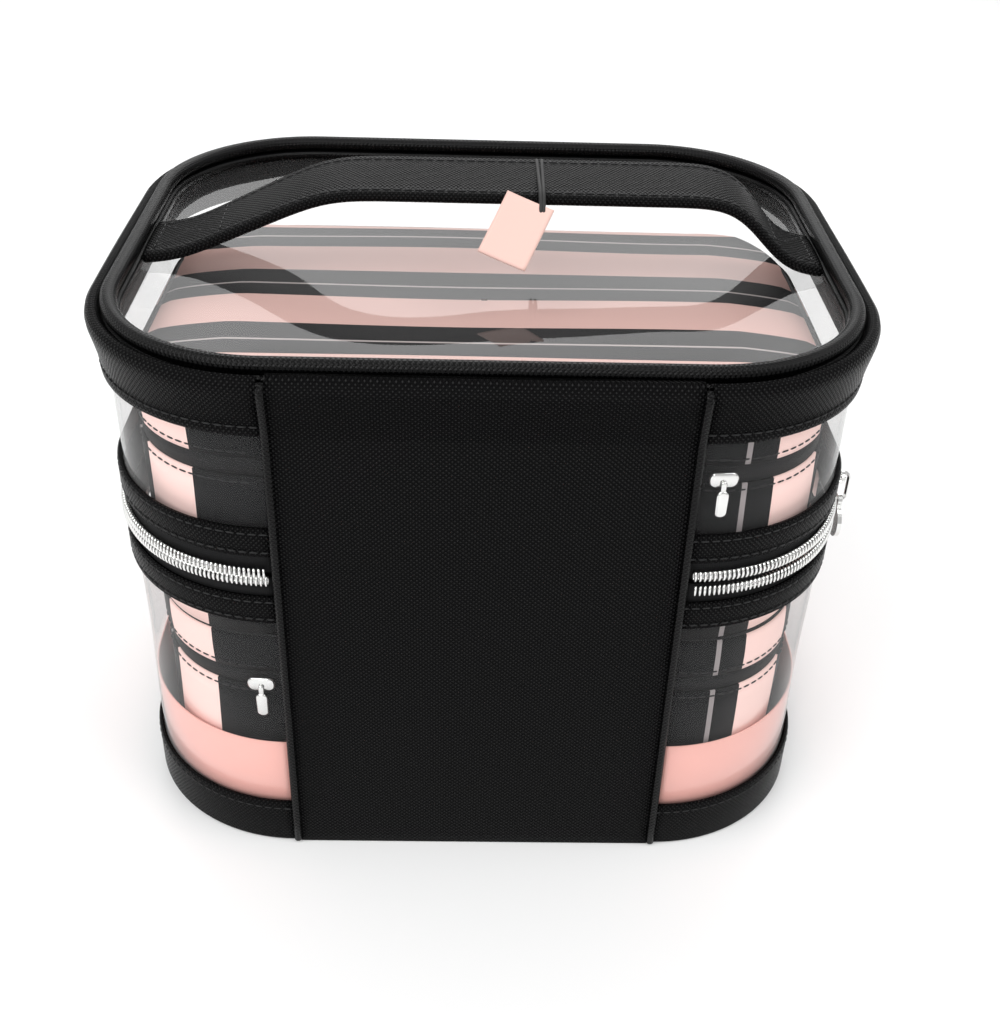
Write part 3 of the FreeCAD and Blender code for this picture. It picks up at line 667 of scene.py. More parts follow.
class Repeater:
    """Copies a small prototype onto marked points with a geometry node tree."""

    def __init__(self) -> None:
        """Build the tree and its inputs."""
        tree = bpy.data.node_groups.new("copies_on_marks", "GeometryNodeTree")
        tree.interface.new_socket("Geometry", in_out="INPUT", socket_type="NodeSocketGeometry")
        shape = tree.interface.new_socket("Prototype", in_out="INPUT", socket_type="NodeSocketObject")
        paint = tree.interface.new_socket("Finish", in_out="INPUT", socket_type="NodeSocketMaterial")
        grow = tree.interface.new_socket("Copy Scale", in_out="INPUT", socket_type="NodeSocketFloat")
        tree.interface.new_socket("Geometry", in_out="OUTPUT", socket_type="NodeSocketGeometry")
        self.tree, self.keys = tree, (shape.identifier, paint.identifier, grow.identifier)
        add, link = tree.nodes.new, tree.links.new
        into, out = add("NodeGroupInput"), add("NodeGroupOutput")
        place, info = add("GeometryNodeInstanceOnPoints"), add("GeometryNodeObjectInfo")
        turn = add("FunctionNodeAxesToRotation")
        turn.primary_axis, turn.secondary_axis = "X", "Z"
        link(into.outputs["Geometry"], place.inputs["Points"])
        link(into.outputs["Prototype"], info.inputs["Object"])
        link(info.outputs["Geometry"], place.inputs["Instance"])
        for label, socket in (("way", turn.inputs[0]), ("lift", turn.inputs[1])):
            named = add("GeometryNodeInputNamedAttribute")
            named.data_type = "FLOAT_VECTOR"
            named.inputs["Name"].default_value = label
            link(named.outputs["Attribute"], socket)
        link(turn.outputs[0], place.inputs["Rotation"])
        link(into.outputs["Copy Scale"], place.inputs["Scale"])
        real, paint_node = add("GeometryNodeRealizeInstances"), add("GeometryNodeSetMaterial")
        link(place.outputs["Instances"], real.inputs["Geometry"])
        link(real.outputs["Geometry"], paint_node.inputs["Geometry"])
        link(into.outputs["Finish"], paint_node.inputs["Material"])
        link(paint_node.outputs["Geometry"], out.inputs["Geometry"])

    def copy(
        self, name: str, marks: Sequence[tuple], prototype: bpy.types.Object, finish: Finish,
    ) -> bpy.types.Object:
        """Copy the prototype onto every mark.

        Args:
            name: Object name.
            marks: Triples of place, way and lift, places in millimetres.
            prototype: Small mesh, long axis X and upper side Z.
            finish: Finish of the copies.

        Returns:
            One plain mesh object.
        """
        places, ways, lifts = (np.array(item, dtype=float) for item in zip(*marks))
        mesh = bpy.data.meshes.new(name)
        mesh.from_pydata((places * MM).tolist(), [], [])
        for label, values in (("way", ways), ("lift", lifts)):
            mesh.attributes.new(label, "FLOAT_VECTOR", "POINT").data.foreach_set("vector", values.ravel())
        made = bpy.data.objects.new(name, mesh)
        bpy.context.scene.collection.objects.link(made)
        modifier = made.modifiers.new("copies", "NODES")
        modifier.node_group = self.tree
        for key, value in zip(self.keys, (prototype, finish.material(), 1.0)):
            modifier[key] = value
        bpy.context.view_layer.update()
        graph = bpy.context.evaluated_depsgraph_get()
        plain = bpy.data.meshes.new_from_object(made.evaluated_get(graph), depsgraph=graph)
        made.modifiers.clear()
        made.data = plain
        plain.name = name
        plain.polygons.foreach_set("use_smooth", [True] * len(plain.polygons))
        return made

    @staticmethod
    def prototype(name: str, rings: np.ndarray, closed: bool) -> bpy.types.Object:
        """Make a hidden prototype from rings of points.

        Args:
            name: Object name.
            rings: Places in millimetres, indexed by ring, spot and axis.
            closed: Whether the last ring joins the first.

        Returns:
            The unlinked prototype.
        """
        lines, spots = np.arange(len(rings) + 1.0), np.arange(rings.shape[1] + 1.0)
        made = Shapes.grid(name, rings, lines, spots, (closed, True), not closed)
        made.hide_render = True
        bpy.context.scene.collection.objects.unlink(made)
        return made


@dataclass
class Stitcher:
    """Sews lines of stitches."""

    repeater: Repeater
    length: float = 2.7
    pitch: float = 3.6
    thick: float = 0.34
    flat: float = 0.8
    dive: float = 0.25
    sides: int = 6
    swell: tuple[tuple[float, float], ...] = ((-1.0, 0.35), (-0.6, 0.95), (0.6, 0.95), (1.0, 0.35))
    look: float = 0.4
    shape: bpy.types.Object = field(init=False)

    def __post_init__(self) -> None:
        """Make the stitch prototype, a small bowed capsule."""
        half = self.length / 2
        turns = Shapes.turns(self.sides)
        rings = []
        for part, size in self.swell:
            across = np.cos(turns) * size * self.thick
            bow = -self.dive * part**2 * self.thick
            lift = bow + np.sin(turns) * size * self.thick * self.flat
            rings.append(np.column_stack([np.full(self.sides, part * half), across, lift]))
        self.shape = Repeater.prototype("stitch", np.array(rings), False)

    def marks(self, path: np.ndarray, lifts: np.ndarray) -> list[tuple]:
        """Space stitch marks evenly along a path.

        Args:
            path: Places in millimetres.
            lifts: Outward direction at each place.

        Returns:
            Marks for the repeater.
        """
        run = Shapes.runs(path, False)
        stops = np.arange(self.pitch / 2, run[-1], self.pitch)
        ahead = Shapes.along(stops + self.look, run, path)
        behind = Shapes.along(stops - self.look, run, path)
        return list(zip(Shapes.along(stops, run, path), ahead - behind, Shapes.along(stops, run, lifts)))

    def around(
        self, plan: Outline, offset: float, level: float, closed: bool = False, wave: Wave | None = None,
    ) -> list[tuple]:
        """Space stitch marks round an outline at one height.

        Args:
            plan: Outline that the seam follows.
            offset: Offset of the sewn surface.
            level: Height of the seam.
            closed: Whether the seam also runs along the back.
            wave: Extra offset by run and height.

        Returns:
            Marks for the repeater.
        """
        bases, outs, run = plan.samples(plan.STEP, closed)
        levels = np.full(len(bases), level)
        reach = np.full(len(bases), plan.radius + offset)
        if wave is not None:
            reach += wave(run[: len(bases)], levels)
        path = np.column_stack([bases + outs * reach[:, None], levels])
        return self.marks(path, np.column_stack([outs, np.zeros(len(outs))]))

    def sew(self, name: str, marks: Sequence[tuple]) -> bpy.types.Object:
        """Make one mesh of stitches from marks."""
        return self.repeater.copy(name, marks, self.shape, THREAD)


@dataclass
class Shell:
    """Clear walls, rose band, foot trim and the boards inside.

    The seam is given by its offset and its height.
    """

    wall: Outline
    stitcher: Stitcher
    ripples: tuple[Ripple, ...] = (Ripple(0.35, 37.0, 29.0), Ripple(0.21, 17.0, -13.0))
    inset: float = -0.4
    lower_edges: tuple[float, float] = (1.6, 107.6)
    upper_edges: tuple[float, float] = (134.4, 189.0)
    rows: int = 16
    liner: Section = ((-1.75, 1.7), (-0.95, 1.7), (-0.95, 46.2), (-1.35, 46.6), (-1.75, 46.2))
    trim: Section = ((0.0, 0.1), (1.2, 0.0), (1.6, 0.6), (1.6, 17.6), (1.3, 18.7), (0.7, 19.0), (0.0, 18.8))
    seam: tuple[float, float] = (1.6, 16.0)
    boards: tuple[str, ...] = ("bottom_cover", "bottom_board", "back_board_lower", "back_board_upper")

    def sheet(self, name: str, edges: tuple[float, float], body: str) -> None:
        """Make one wavy clear sheet that stays flat at its sewn edges.

        Args:
            name: Node that it stands for.
            edges: Heights of its lower and upper edge.
            body: Body that it rides on.
        """
        low, high = edges

        def wave(run: np.ndarray, place: np.ndarray) -> np.ndarray:
            """Return the ripples by run and height, faded out at both edges."""
            part = np.clip((place - low) / (high - low), 0.0, 1.0)
            return sum(ripple.at(run, place) for ripple in self.ripples) * np.sin(part * math.pi)

        section = [(self.inset, z) for z in np.linspace(low, high, self.rows)]
        made = self.wall.sweep(f"{name}_sheet", section, sheet=True, wave=wave)
        put(made, CLEAR_SIDE, body, [name])

    def build(self) -> None:
        """Make the walls, the band and the trim and dress the boards."""
        self.sheet("lower_window", self.lower_edges, "base")
        self.sheet("upper_window", self.upper_edges, "lid")
        put(self.wall.sweep("rose_band", self.liner), ROSE, "base", ["pink_liner"])
        put(self.wall.sweep("foot_trim", self.trim), GRAIN, "base", ["bottom_trim"])
        put(self.stitcher.sew("foot_stitches", self.stitcher.around(self.wall, *self.seam)), THREAD, "base")
        for name in self.boards:
            dress(name, BOARD)


@dataclass
class TopRim:
    """Flared band, rolled edge, inner welt and the clear top.

    The seam and the roll's centre are given by offset and height, and the band's fade by start and length.
    """

    wall: Outline
    stitcher: Stitcher
    band: Section = (
        (0.1, 173.9), (1.5, 173.6), (2.2, 174.2), (2.4, 175.6), (2.15, 177.2), (2.6, 179.6), (3.3, 183.2),
        (4.2, 187.0), (4.9, 190.0), (5.0, 191.8), (4.5, 193.4), (3.4, 194.4), (2.1, 194.6), (0.9, 194.0),
        (0.1, 192.8),
    )
    band_fade: tuple[float, float] = (174.0, 12.0)
    band_ripple: Ripple = Ripple(0.22, 23.0, 9.0)
    welt: Section = ((-6.3, 189.9), (-0.2, 189.9), (-0.2, 192.6), (-5.6, 192.6), (-6.3, 191.9))
    roll: float = 2.75
    roll_centre: tuple[float, float] = (-3.0, 195.2)
    roll_sides: int = 14
    seam: tuple[float, float] = (2.35, 177.2)
    top: float = 189.4
    top_inset: float = -0.4
    top_half: tuple[float, float] = (122.0, 99.0)
    top_rise: float = 0.4
    top_fade: float = 5.0
    top_ripples: tuple[Ripple, ...] = (
        Ripple(0.45, 21.0, 33.0), Ripple(0.35, -48.0, 15.0), Ripple(0.3, 11.0, math.inf, 1.3),
    )

    def sag(self, run: np.ndarray, high: np.ndarray) -> np.ndarray:
        """Return the slight unevenness of the soft band by run and height."""
        low, length = self.band_fade
        return self.band_ripple.at(run, high) * np.clip((high - low) / length, 0.0, 1.0)

    def crown(self, x: np.ndarray, y: np.ndarray) -> np.ndarray:
        """Find the height of the slack clear top.

        Args:
            x: Places across.
            y: Places from back to front.

        Returns:
            Heights, level at the sewn edge.
        """
        half_x, half_y = self.top_half
        edge = np.clip(1.0 - np.maximum(np.abs(x) / half_x, np.abs(y) / half_y), 0.0, 1.0)
        waves = sum(ripple.at(x, y) for ripple in self.top_ripples)
        return self.top + np.minimum(edge * self.top_fade, 1.0) * (self.top_rise + waves)

    def build(self) -> None:
        """Make the rim pieces on the lid."""
        put(self.wall.sweep("rim_band", self.band, wave=self.sag), GRAIN, "lid", ["top_band"])
        offset, level = self.roll_centre
        turns = Shapes.turns(self.roll_sides)
        roll = np.column_stack([offset + self.roll * np.cos(turns), level + self.roll * np.sin(turns)])
        put(self.wall.sweep("rim_piping", roll, closed=True), ROLL, "lid", ["top_piping"])
        put(self.wall.sweep("rim_welt", self.welt, closed=True), ROLL, "lid", ["top_welt"])
        clear = self.wall.disc("clear_top", self.top_inset, self.crown)
        put(clear, CLEAR, "lid", ["top_window"])
        put(self.stitcher.sew("rim_stitches", self.stitcher.around(self.wall, *self.seam)), THREAD, "lid")


@dataclass(frozen=True)
class ZipHalf:
    """Heights of one half of the zip."""

    name: str
    body: str
    sign: int
    tape_low: float
    tape_high: float
    strip_low: float
    strip_high: float


@dataclass
class ZipRun:
    """Tapes, facings, stitches and the two coil rows."""

    wall: Outline
    stitcher: Stitcher
    halves: tuple[ZipHalf, ...] = (
        ZipHalf("lower", "base", -1, 107.6, 119.8, 102.2, 113.0),
        ZipHalf("upper", "lid", 1, 122.2, 134.4, 129.0, 139.8),
    )
    tape_faces: tuple[float, float] = (-0.75, -0.05)
    tape_lip: float = 0.15
    facing_rise: Section = ((0.0, 0.2), (1.1, 0.0), (1.6, 0.6), (1.45, 1.9), (1.75, 3.4))
    level: float = 121.0
    step: float = 2.0
    pitch: float = 1.55
    half_loop: float = 1.8
    loop_depth: float = 1.0
    loop_slant: float = 0.22
    loop_sides: int = 12
    wire: float = 0.46
    wire_sides: int = 6
    coil_offset: float = 1.05
    coil_end: float = 2.0
    mesh: float = 0.25
    seam_offset: float = 1.6
    seam_margin: float = 1.9
    slider_y: float = -36.0
    slot: float = 0.85
    slot_run: float = 12.0
    gape: float = 1.35
    gape_run: float = 40.0

    def loop(self) -> bpy.types.Object:
        """Make the prototype of one coil loop, upright and a little slanted.

        Returns:
            The hidden prototype.
        """
        turns = Shapes.turns(self.loop_sides)[::-1]
        slant, depth = self.loop_slant * np.sin(turns), -self.loop_depth * np.sin(turns)
        path = np.column_stack([slant, depth, self.half_loop * np.cos(turns)])
        tangents = np.roll(path, -1, axis=0) - np.roll(path, 1, axis=0)
        tangents /= np.linalg.norm(tangents, axis=1)[:, None]
        angles = Shapes.turns(self.wire_sides)[:, None]
        rings = []
        for place, tangent in zip(path, tangents):
            side = np.cross(tangent, (1.0, 0.0, 0.0))
            side /= np.linalg.norm(side)
            other = np.cross(tangent, side)
            rings.append(place + self.wire * (np.cos(angles) * side + np.sin(angles) * other))
        return Repeater.prototype("coil_loop", np.array(rings), True)

    def spread(self, run: np.ndarray, total: float) -> np.ndarray:
        """Find how far each row stands off along the slider's run and where the zip is open.

        Args:
            run: Distances along the chain.
            total: Length of the chain.

        Returns:
            Extra height of a row at each distance.
        """
        corner = total - self.wall.radius * math.pi / 2
        stand = np.zeros_like(run)
        for start, length, reach in (
            (corner - 2 * self.wall.half_y - self.slot_run, self.slot_run, self.slot),
            (corner - self.slider_y - self.wall.half_y, self.gape_run, self.gape - self.slot),
        ):
            part = np.clip((run - start) / length, 0.0, 1.0)
            stand += reach * part * part * (3 - 2 * part)
        return stand

    def facing(self, half: ZipHalf) -> Section:
        """Draw the section of a facing strip, dipped along its two seams.

        Args:
            half: Half of the zip.

        Returns:
            Points of (offset, height), anticlockwise.
        """
        lower = [(offset, half.strip_low + rise) for offset, rise in self.facing_rise]
        upper = [(offset, half.strip_high - rise) for offset, rise in self.facing_rise]
        return lower + upper[::-1]

    def tape(self, half: ZipHalf) -> Section:
        """Draw the section of a tape, lipped along its upper edge.

        Args:
            half: Half of the zip.

        Returns:
            Points of (offset, height), anticlockwise.
        """
        inner, outer = self.tape_faces
        low, high = half.tape_low, half.tape_high
        lip = ((inner + outer) / 2, high + self.tape_lip)
        return [(inner, low), (outer, low), (outer, high), lip, (inner, high)]

    def coil(self, index: int, half: ZipHalf) -> list[tuple]:
        """Space the loops of one coil row along the wall.

        Args:
            index: Row number, which shifts the row by half a pitch.
            half: Half of the zip.

        Returns:
            Marks for the repeater.
        """
        bases, outs, run = self.wall.samples(self.step, False)
        first = self.coil_end + 0.5 * self.pitch * index
        stops = np.arange(first, run[-1] - self.coil_end, self.pitch)
        place = Shapes.along(stops, run, bases + outs * (self.wall.radius + self.coil_offset))
        out = Shapes.along(stops, run, outs)
        high = self.level + half.sign * (self.half_loop - self.mesh + self.spread(stops, run[-1]))
        up = (0.0, 0.0, float(half.sign))
        return [((*spot, z), (way[1], -way[0], 0.0), up) for spot, way, z in zip(place, out, high)]

    def build(self) -> None:
        """Make both halves of the zip."""
        loop = self.loop()
        for index, half in enumerate(self.halves):
            name = half.name
            tape = self.wall.sweep(f"{name}_tape", self.tape(half))
            put(tape, TAPE, half.body, [f"{name}_zip_tape"])
            strip = self.wall.sweep(f"{name}_facing", self.facing(half))
            put(strip, GRAIN, half.body, [f"{name}_zip_facing"])
            marks = []
            for z in (half.strip_low + self.seam_margin, half.strip_high - self.seam_margin):
                marks += self.stitcher.around(self.wall, self.seam_offset, z)
            put(self.stitcher.sew(f"{name}_zip_stitches", marks), THREAD, half.body)
            made = self.stitcher.repeater.copy(f"{name}_coil", self.coil(index, half), loop, COIL)
            put(made, COIL, half.body, [f"{name}_zip_teeth"])


@dataclass
class BackPanel:
    """Grained back panel that spans the hinge, with a cord down each edge.

    The flare and the curl are each given by a start height, a length and a reach.
    """

    half: float = 64.0
    back: float = -100.5
    proud: float = 2.0
    flare: tuple[float, float, float] = (174.0, 16.0, 3.0)
    curl: tuple[float, float, float] = (190.0, 4.5, 4.2)
    fold: tuple[float, float] = (115.0, 127.0)
    puff: float = 1.0
    puff_top: float = 192.0
    puff_square: int = 6
    puff_round: float = 0.5
    dents: tuple[Ripple, Ripple] = (Ripple(0.15, 14.0, math.inf), Ripple(1.0, 19.0, math.inf, 0.7))
    backing: float = 0.05
    columns: int = 33
    levels: Levels = ((0.1, 112.0, 30), (114.0, 128.0, 12), (131.0, 189.0, 16), (190.0, 194.4, 7))
    plain_row: int = 10
    cord: float = 1.45
    cord_place: float = 65.25
    cord_sink: float = 0.3
    cord_levels: Levels = ((0.8, 112.0, 12), (114.0, 128.0, 12), (132.0, 193.0, 24))

    @staticmethod
    def spaced(levels: Levels) -> np.ndarray:
        """Return heights from runs of (low, high, count), close together across the fold."""
        return np.concatenate([np.linspace(*run) for run in levels])

    def lean(self, z: np.ndarray) -> np.ndarray:
        """Find how far the panel face stands out.

        Args:
            z: Heights.

        Returns:
            Outward offsets, with the flare and the curl under the rolled edge.
        """
        low, length, reach = self.flare
        flare = np.clip((z - low) / length, 0.0, 1.0) * reach
        low, length, reach = self.curl
        curl = np.clip((z - low) / length, 0.0, 1.0)
        return self.proud + flare - reach * (1 - np.sqrt(np.clip(1 - curl * curl, 0.0, 1.0)))

    def hinge(self, made: bpy.types.Object) -> None:
        """Bake a piece's transform into its mesh."""
        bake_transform(made)

    def build(self) -> None:
        """Make the panel and its cords."""
        high = self.spaced(self.levels)
        across = np.linspace(-1.0, 1.0, self.columns)
        x = across * self.half
        rise = np.sin(np.clip(high / self.puff_top, 0, 1) * math.pi)[:, None] ** self.puff_round
        bulge = self.puff * (1 - across**self.puff_square)[None, :] * rise
        tall, wide = self.dents
        wave = tall.at(high, 0.0)[:, None] * wide.at(x, 0.0)[None, :]
        face = self.back - self.lean(high)[:, None] - bulge - wave
        front = np.stack(np.broadcast_arrays(x[None, :], face, high[:, None]), axis=2)
        rear = front.copy()
        rear[:, :, 1] = self.back - self.backing
        points = np.concatenate([front, rear[:, ::-1]], axis=1)
        runs = Shapes.runs(points[self.plain_row], True)
        panel = Shapes.grid("panel_skin", points, high, runs, (False, True), True)
        put(panel, GRAIN, "", ["back_panel_lower", "back_panel_upper"])
        self.hinge(panel)
        z = self.spaced(self.cord_levels)
        for side, label in ((-1, "left"), (1, "right")):
            x = np.full(len(z), side * self.cord_place)
            path = np.column_stack([x, self.back - self.lean(z) + self.cord_sink, z])
            cord = Shapes.tube(f"panel_cord_{label}", path, self.cord)
            put(cord, ROLL, "", [f"back_cord_lower_{label}", f"back_cord_upper_{label}"])
            self.hinge(cord)


@dataclass
class Handle:
    """Sewn strap with its free arch.

    Each side is given by its foot, its shoulder and their radii, and each line of a sewn box by its share of
    the half width and its lift.
    """

    stitcher: Stitcher
    width: float = 30.0
    thick: float = 3.5
    low: float = 191.55
    rise: float = 25.0
    end: float = 117.2
    left: tuple[float, float, float, float] = (112.0, 45.0, 20.0, 40.0)
    right: tuple[float, float, float, float] = (110.0, 78.0, 8.0, 16.0)
    twist: float = 5.0
    ease: int = 40
    steps: int = 150
    bend_steps: int = 14
    seam: float = 0.8
    seam_sink: float = 0.1
    groove: float = 0.22
    crown: float = 0.25
    crown_steps: int = 9
    under_edge: float = 0.5
    upper_edge: float = 0.9
    upper_sink: float = 0.1
    boxes: tuple[tuple[int, int], ...] = ((2, 17), (-14, -3))
    box_cross: tuple[float, float] = (0.62, 0.15)
    box_end: tuple[float, float] = (0.7, 0.2)
    box_steps: int = 12
    bend: tuple[float, float] = (195.5, 206.5)

    def side(self, foot: float, shoulder: float, small: float, large: float) -> list[tuple[float, float]]:
        """Draw one S-bend from its foot to its shoulder.

        Args:
            foot: Distance of the foot from the middle.
            shoulder: Distance of the shoulder.
            small: Foot radius.
            large: Shoulder radius.

        Returns:
            Points of (distance from the middle, height).
        """
        span, drop = foot - shoulder, self.rise - small - large
        turn = math.asin((small + large) / math.hypot(span, drop)) + math.atan2(drop, span)
        turns = np.linspace(0.0, turn, self.bend_steps)
        high = self.low + self.rise
        lower = [(foot - small * math.sin(t), self.low + small * (1 - math.cos(t))) for t in turns]
        upper = [(shoulder + large * math.sin(t), high - large * (1 - math.cos(t))) for t in turns[::-1]]
        return lower + upper

    def line(self) -> np.ndarray:
        """Draw the strap's centre line.

        Returns:
            Points of (X, height), left to right and evenly spaced.
        """
        left = [(-x, z) for x, z in [(self.end, self.low), *self.side(*self.left)]]
        right = [(self.end, self.low), *self.side(*self.right)]
        path = np.array(left + right[::-1])
        run = Shapes.runs(path, False)
        line = Shapes.along(np.linspace(0.0, run[-1], self.steps), run, path)
        for _ in range(self.ease):
            line[1:-1] = (line[:-2] + 2 * line[1:-1] + line[2:]) / 4
        return line

    def frame_at(self, path: np.ndarray) -> tuple[np.ndarray, np.ndarray, np.ndarray]:
        """Find how the strap lies along its centre line.

        Args:
            path: Points of (X, height).

        Returns:
            Places, cross directions and upper directions.
        """
        way = np.gradient(path, axis=0)
        way /= np.linalg.norm(way, axis=1)[:, None]
        up = np.column_stack([-way[:, 1], np.zeros(len(way)), way[:, 0]])
        lean = math.radians(self.twist) * np.clip((path[:, 1] - self.low) / self.rise, 0.0, 1.0)
        cross = np.tile((0.0, 1.0, 0.0), (len(way), 1))
        tilted = cross * np.cos(lean)[:, None] + up * np.sin(lean)[:, None]
        upper = up * np.cos(lean)[:, None] - cross * np.sin(lean)[:, None]
        place = np.column_stack([path[:, 0], np.zeros(len(path)), path[:, 1]])
        return place, tilted, upper

    def section(self) -> np.ndarray:
        """Draw the strap's section, crowned between two grooves for the seams.

        Returns:
            Points of (across, up), anticlockwise.
        """
        half, high, under, over = self.width / 2, self.thick / 2, self.under_edge, self.upper_edge
        outline = [(-half + under, -high), (half - under, -high), (half, -high + under), (half, high - over)]
        outline += [(half - over, high - self.upper_sink), (self.seam * half, high - self.groove)]
        for part in np.linspace(self.seam, -self.seam, self.crown_steps)[1:-1]:
            outline.append((part * half, high + self.crown * (1 - part * part)))
        outline += [(-self.seam * half, high - self.groove), (-half + over, high - self.upper_sink)]
        return np.array(outline + [(-half, high - over), (-half, -high + under)])

    def flop(self, made: bpy.types.Object) -> None:
        """Bake a piece's transform into its mesh."""
        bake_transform(made)

    def stitch_marks(self, place: np.ndarray, cross: np.ndarray, upper: np.ndarray) -> list[tuple]:
        """Mark the two long seams and the crossed box on each sewn end.

        Args:
            place: Places along the strap.
            cross: Cross directions.
            upper: Upper directions.

        Returns:
            Marks for the repeater.
        """
        half, high = self.width / 2, self.thick / 2
        marks = []
        for side in (-1, 1):
            line = place + cross * (side * half * self.seam) + upper * (high - self.seam_sink)
            marks += self.stitcher.marks(line, upper)
        for box in self.boxes:
            first, last = (row % self.steps for row in box)
            run = slice(first, last)
            reach, lift = self.box_cross
            for start in (-reach, reach):
                shares = np.linspace(start, -start, last - first)[:, None]
                line = place[run] + cross[run] * shares * half + upper[run] * (high + lift)
                marks += self.stitcher.marks(line, upper[run])
            reach, lift = self.box_end
            shares = np.linspace(-reach, reach, self.box_steps)[:, None]
            for row in (first, last):
                line = place[row] + cross[row] * shares * half + upper[row] * (high + lift)
                marks += self.stitcher.marks(line, np.tile(upper[row], (self.box_steps, 1)))
        return marks

    def build(self) -> None:
        """Make the strap and its stitches."""
        place, cross, upper = self.frame_at(self.line())
        section = self.section()
        points = place[:, None, :] + cross[:, None, :] * section[None, :, :1]
        points = points + upper[:, None, :] * section[None, :, 1:]
        along, across = Shapes.runs(place, False), Shapes.runs(section, True)
        strap = Shapes.grid("handle_belt", points, along, across, (False, True), True)
        put(strap, STRAP, "", ["handle_strap", "handle_end_left", "handle_end_right"])
        self.flop(strap)
        stitches = self.stitcher.sew("handle_stitches", self.stitch_marks(place, cross, upper))
        put(stitches, THREAD, "")
        self.flop(stitches)


@dataclass
class Tag:
    """Elastic loop round the handle and a blank card on it."""

    place: Place = (18.6, -22.12, 213.05)
    slope: float = 42.0
    turn: float = 24.0
    loop: Section = (
        (15.9, 212.9), (16.2, 214.5), (15.9, 218.7), (12.0, 219.1), (-12.0, 218.2),
        (-16.0, 217.5), (-22.12, 214.0), (-21.32, 212.2), (-13.0, 211.6), (10.0, 211.9),
    )
    loop_steps: int = 72
    loop_ease: int = 3
    strand: float = 0.7
    strand_sides: int = 8
    strands: tuple[float, ...] = (-0.75, 0.75)
    splay: float = 0.6
    grid: tuple[int, int] = (14, 18)
    width: float = 17.0
    length: float = 24.0
    margin: float = 3.0
    thick: float = 0.45
    belly: float = 0.3
    curl: float = 0.0036

    def ring(self) -> np.ndarray:
        """Draw the loop round the strap.

        Returns:
            Points of (Y, height), evenly spaced and closed.
        """
        corners = np.array(self.loop)
        run = Shapes.runs(corners, True)
        stops = np.linspace(0.0, run[-1], self.loop_steps, endpoint=False)
        ring = Shapes.along(stops, run, np.vstack([corners, corners[:1]]))
        for _ in range(self.loop_ease):
            ring = (np.roll(ring, 1, axis=0) + 2 * ring + np.roll(ring, -1, axis=0)) / 4
        return ring

    def build(self) -> None:
        """Make the loop and the card."""
        near, far, ring = self.place[1], self.loop[0][0], self.ring()
        for index, shift in enumerate(self.strands):
            bow = shift * self.splay * (1 + (ring[:, 0] - near) / (far - near))
            path = np.column_stack([self.place[0] + bow, ring])
            made = Shapes.tube(f"tag_elastic_{index + 1}", path, self.strand, True, self.strand_sides)
            put(made, ELASTIC, "handle", ["tag_loop"] if index == 0 else [])
        columns, rows = self.grid
        x = np.linspace(self.margin - self.width, self.margin, columns)
        y = np.linspace(self.margin, self.margin - self.length, rows)
        belly = self.belly * np.sin((y - self.margin) / self.length * math.pi)[:, None]
        curl = self.curl * (x[None, :] + self.width / 2 - self.margin) ** 2
        top = np.stack(np.broadcast_arrays(x[None, :], y[:, None], self.thick + belly + curl), axis=2)
        under = top - np.array([0.0, 0.0, self.thick])
        points = np.concatenate([top[:, ::-1], under], axis=1)
        tilt = Matrix.Rotation(math.radians(self.slope), 3, "X")
        turned = tilt @ Matrix.Rotation(-math.radians(self.turn), 3, "Z")
        points = points @ np.array(turned).T + np.array(self.place)
        lines, spots = np.arange(len(y)), np.arange(points.shape[1] + 1)
        card = Shapes.grid("tag_blank", points, lines, spots, (False, True), True)
        put(card, CARD, "tag", ["hang_tag"])


@dataclass
class SliderSet:
    """Zip slider, link and round pull, dressed as rounded metal."""

    bevel: float = 0.14
    segments: int = 2
    sharp: tuple[tuple[str, Finish], ...] = (
        ("zip_slider", METAL), ("pull_frame", METAL), ("pull_inlay", GLOSS),
    )

    def build(self) -> None:
        """Dress the metal nodes and round the edges of the sharp ones."""
        dress("pull_link", METAL)
        for name, finish in self.sharp:
            modifier = dress(name, finish).modifiers.new("round", "BEVEL")
            modifier.width, modifier.segments = self.bevel * MM, self.segments
            modifier.limit_method = "ANGLE"


@dataclass(frozen=True)
class Plate:
    """One rounded metal plate of a pouch pull."""

    label: str
    drop: float
    half: float
    wide: float
    tall: float
    base: float
    thick: float
    edge: float = 0.3
    sides: int = 20

    def rings(self, foot: np.ndarray, out: np.ndarray) -> np.ndarray:
        """Draw the plate as rings from its back to its face.

        Args:
            foot: Place on the pouch at the middle of its zip.
            out: Direction away from the pouch.

        Returns:
            Places, indexed by ring, spot and axis.
        """
        up = np.array([0.0, 0.0, 1.0])
        across = np.cross(up, out)
        turns = Shapes.turns(self.sides)
        ring = self.half * np.column_stack([np.cos(turns), np.sin(turns)])
        ring += np.copysign((self.wide / 2, self.tall / 2), ring)
        rings = []
        for depth, shrink in (
            (0.0, self.edge), (self.edge, 0.0), (self.thick - self.edge, 0.0), (self.thick, self.edge),
        ):
            flat = ring * (1 - shrink / self.half)
            centre = foot + out * (self.base + depth) + up * self.drop
            rings.append(centre + flat[:, :1] * across + flat[:, 1:] * up)
        return np.array(rings)


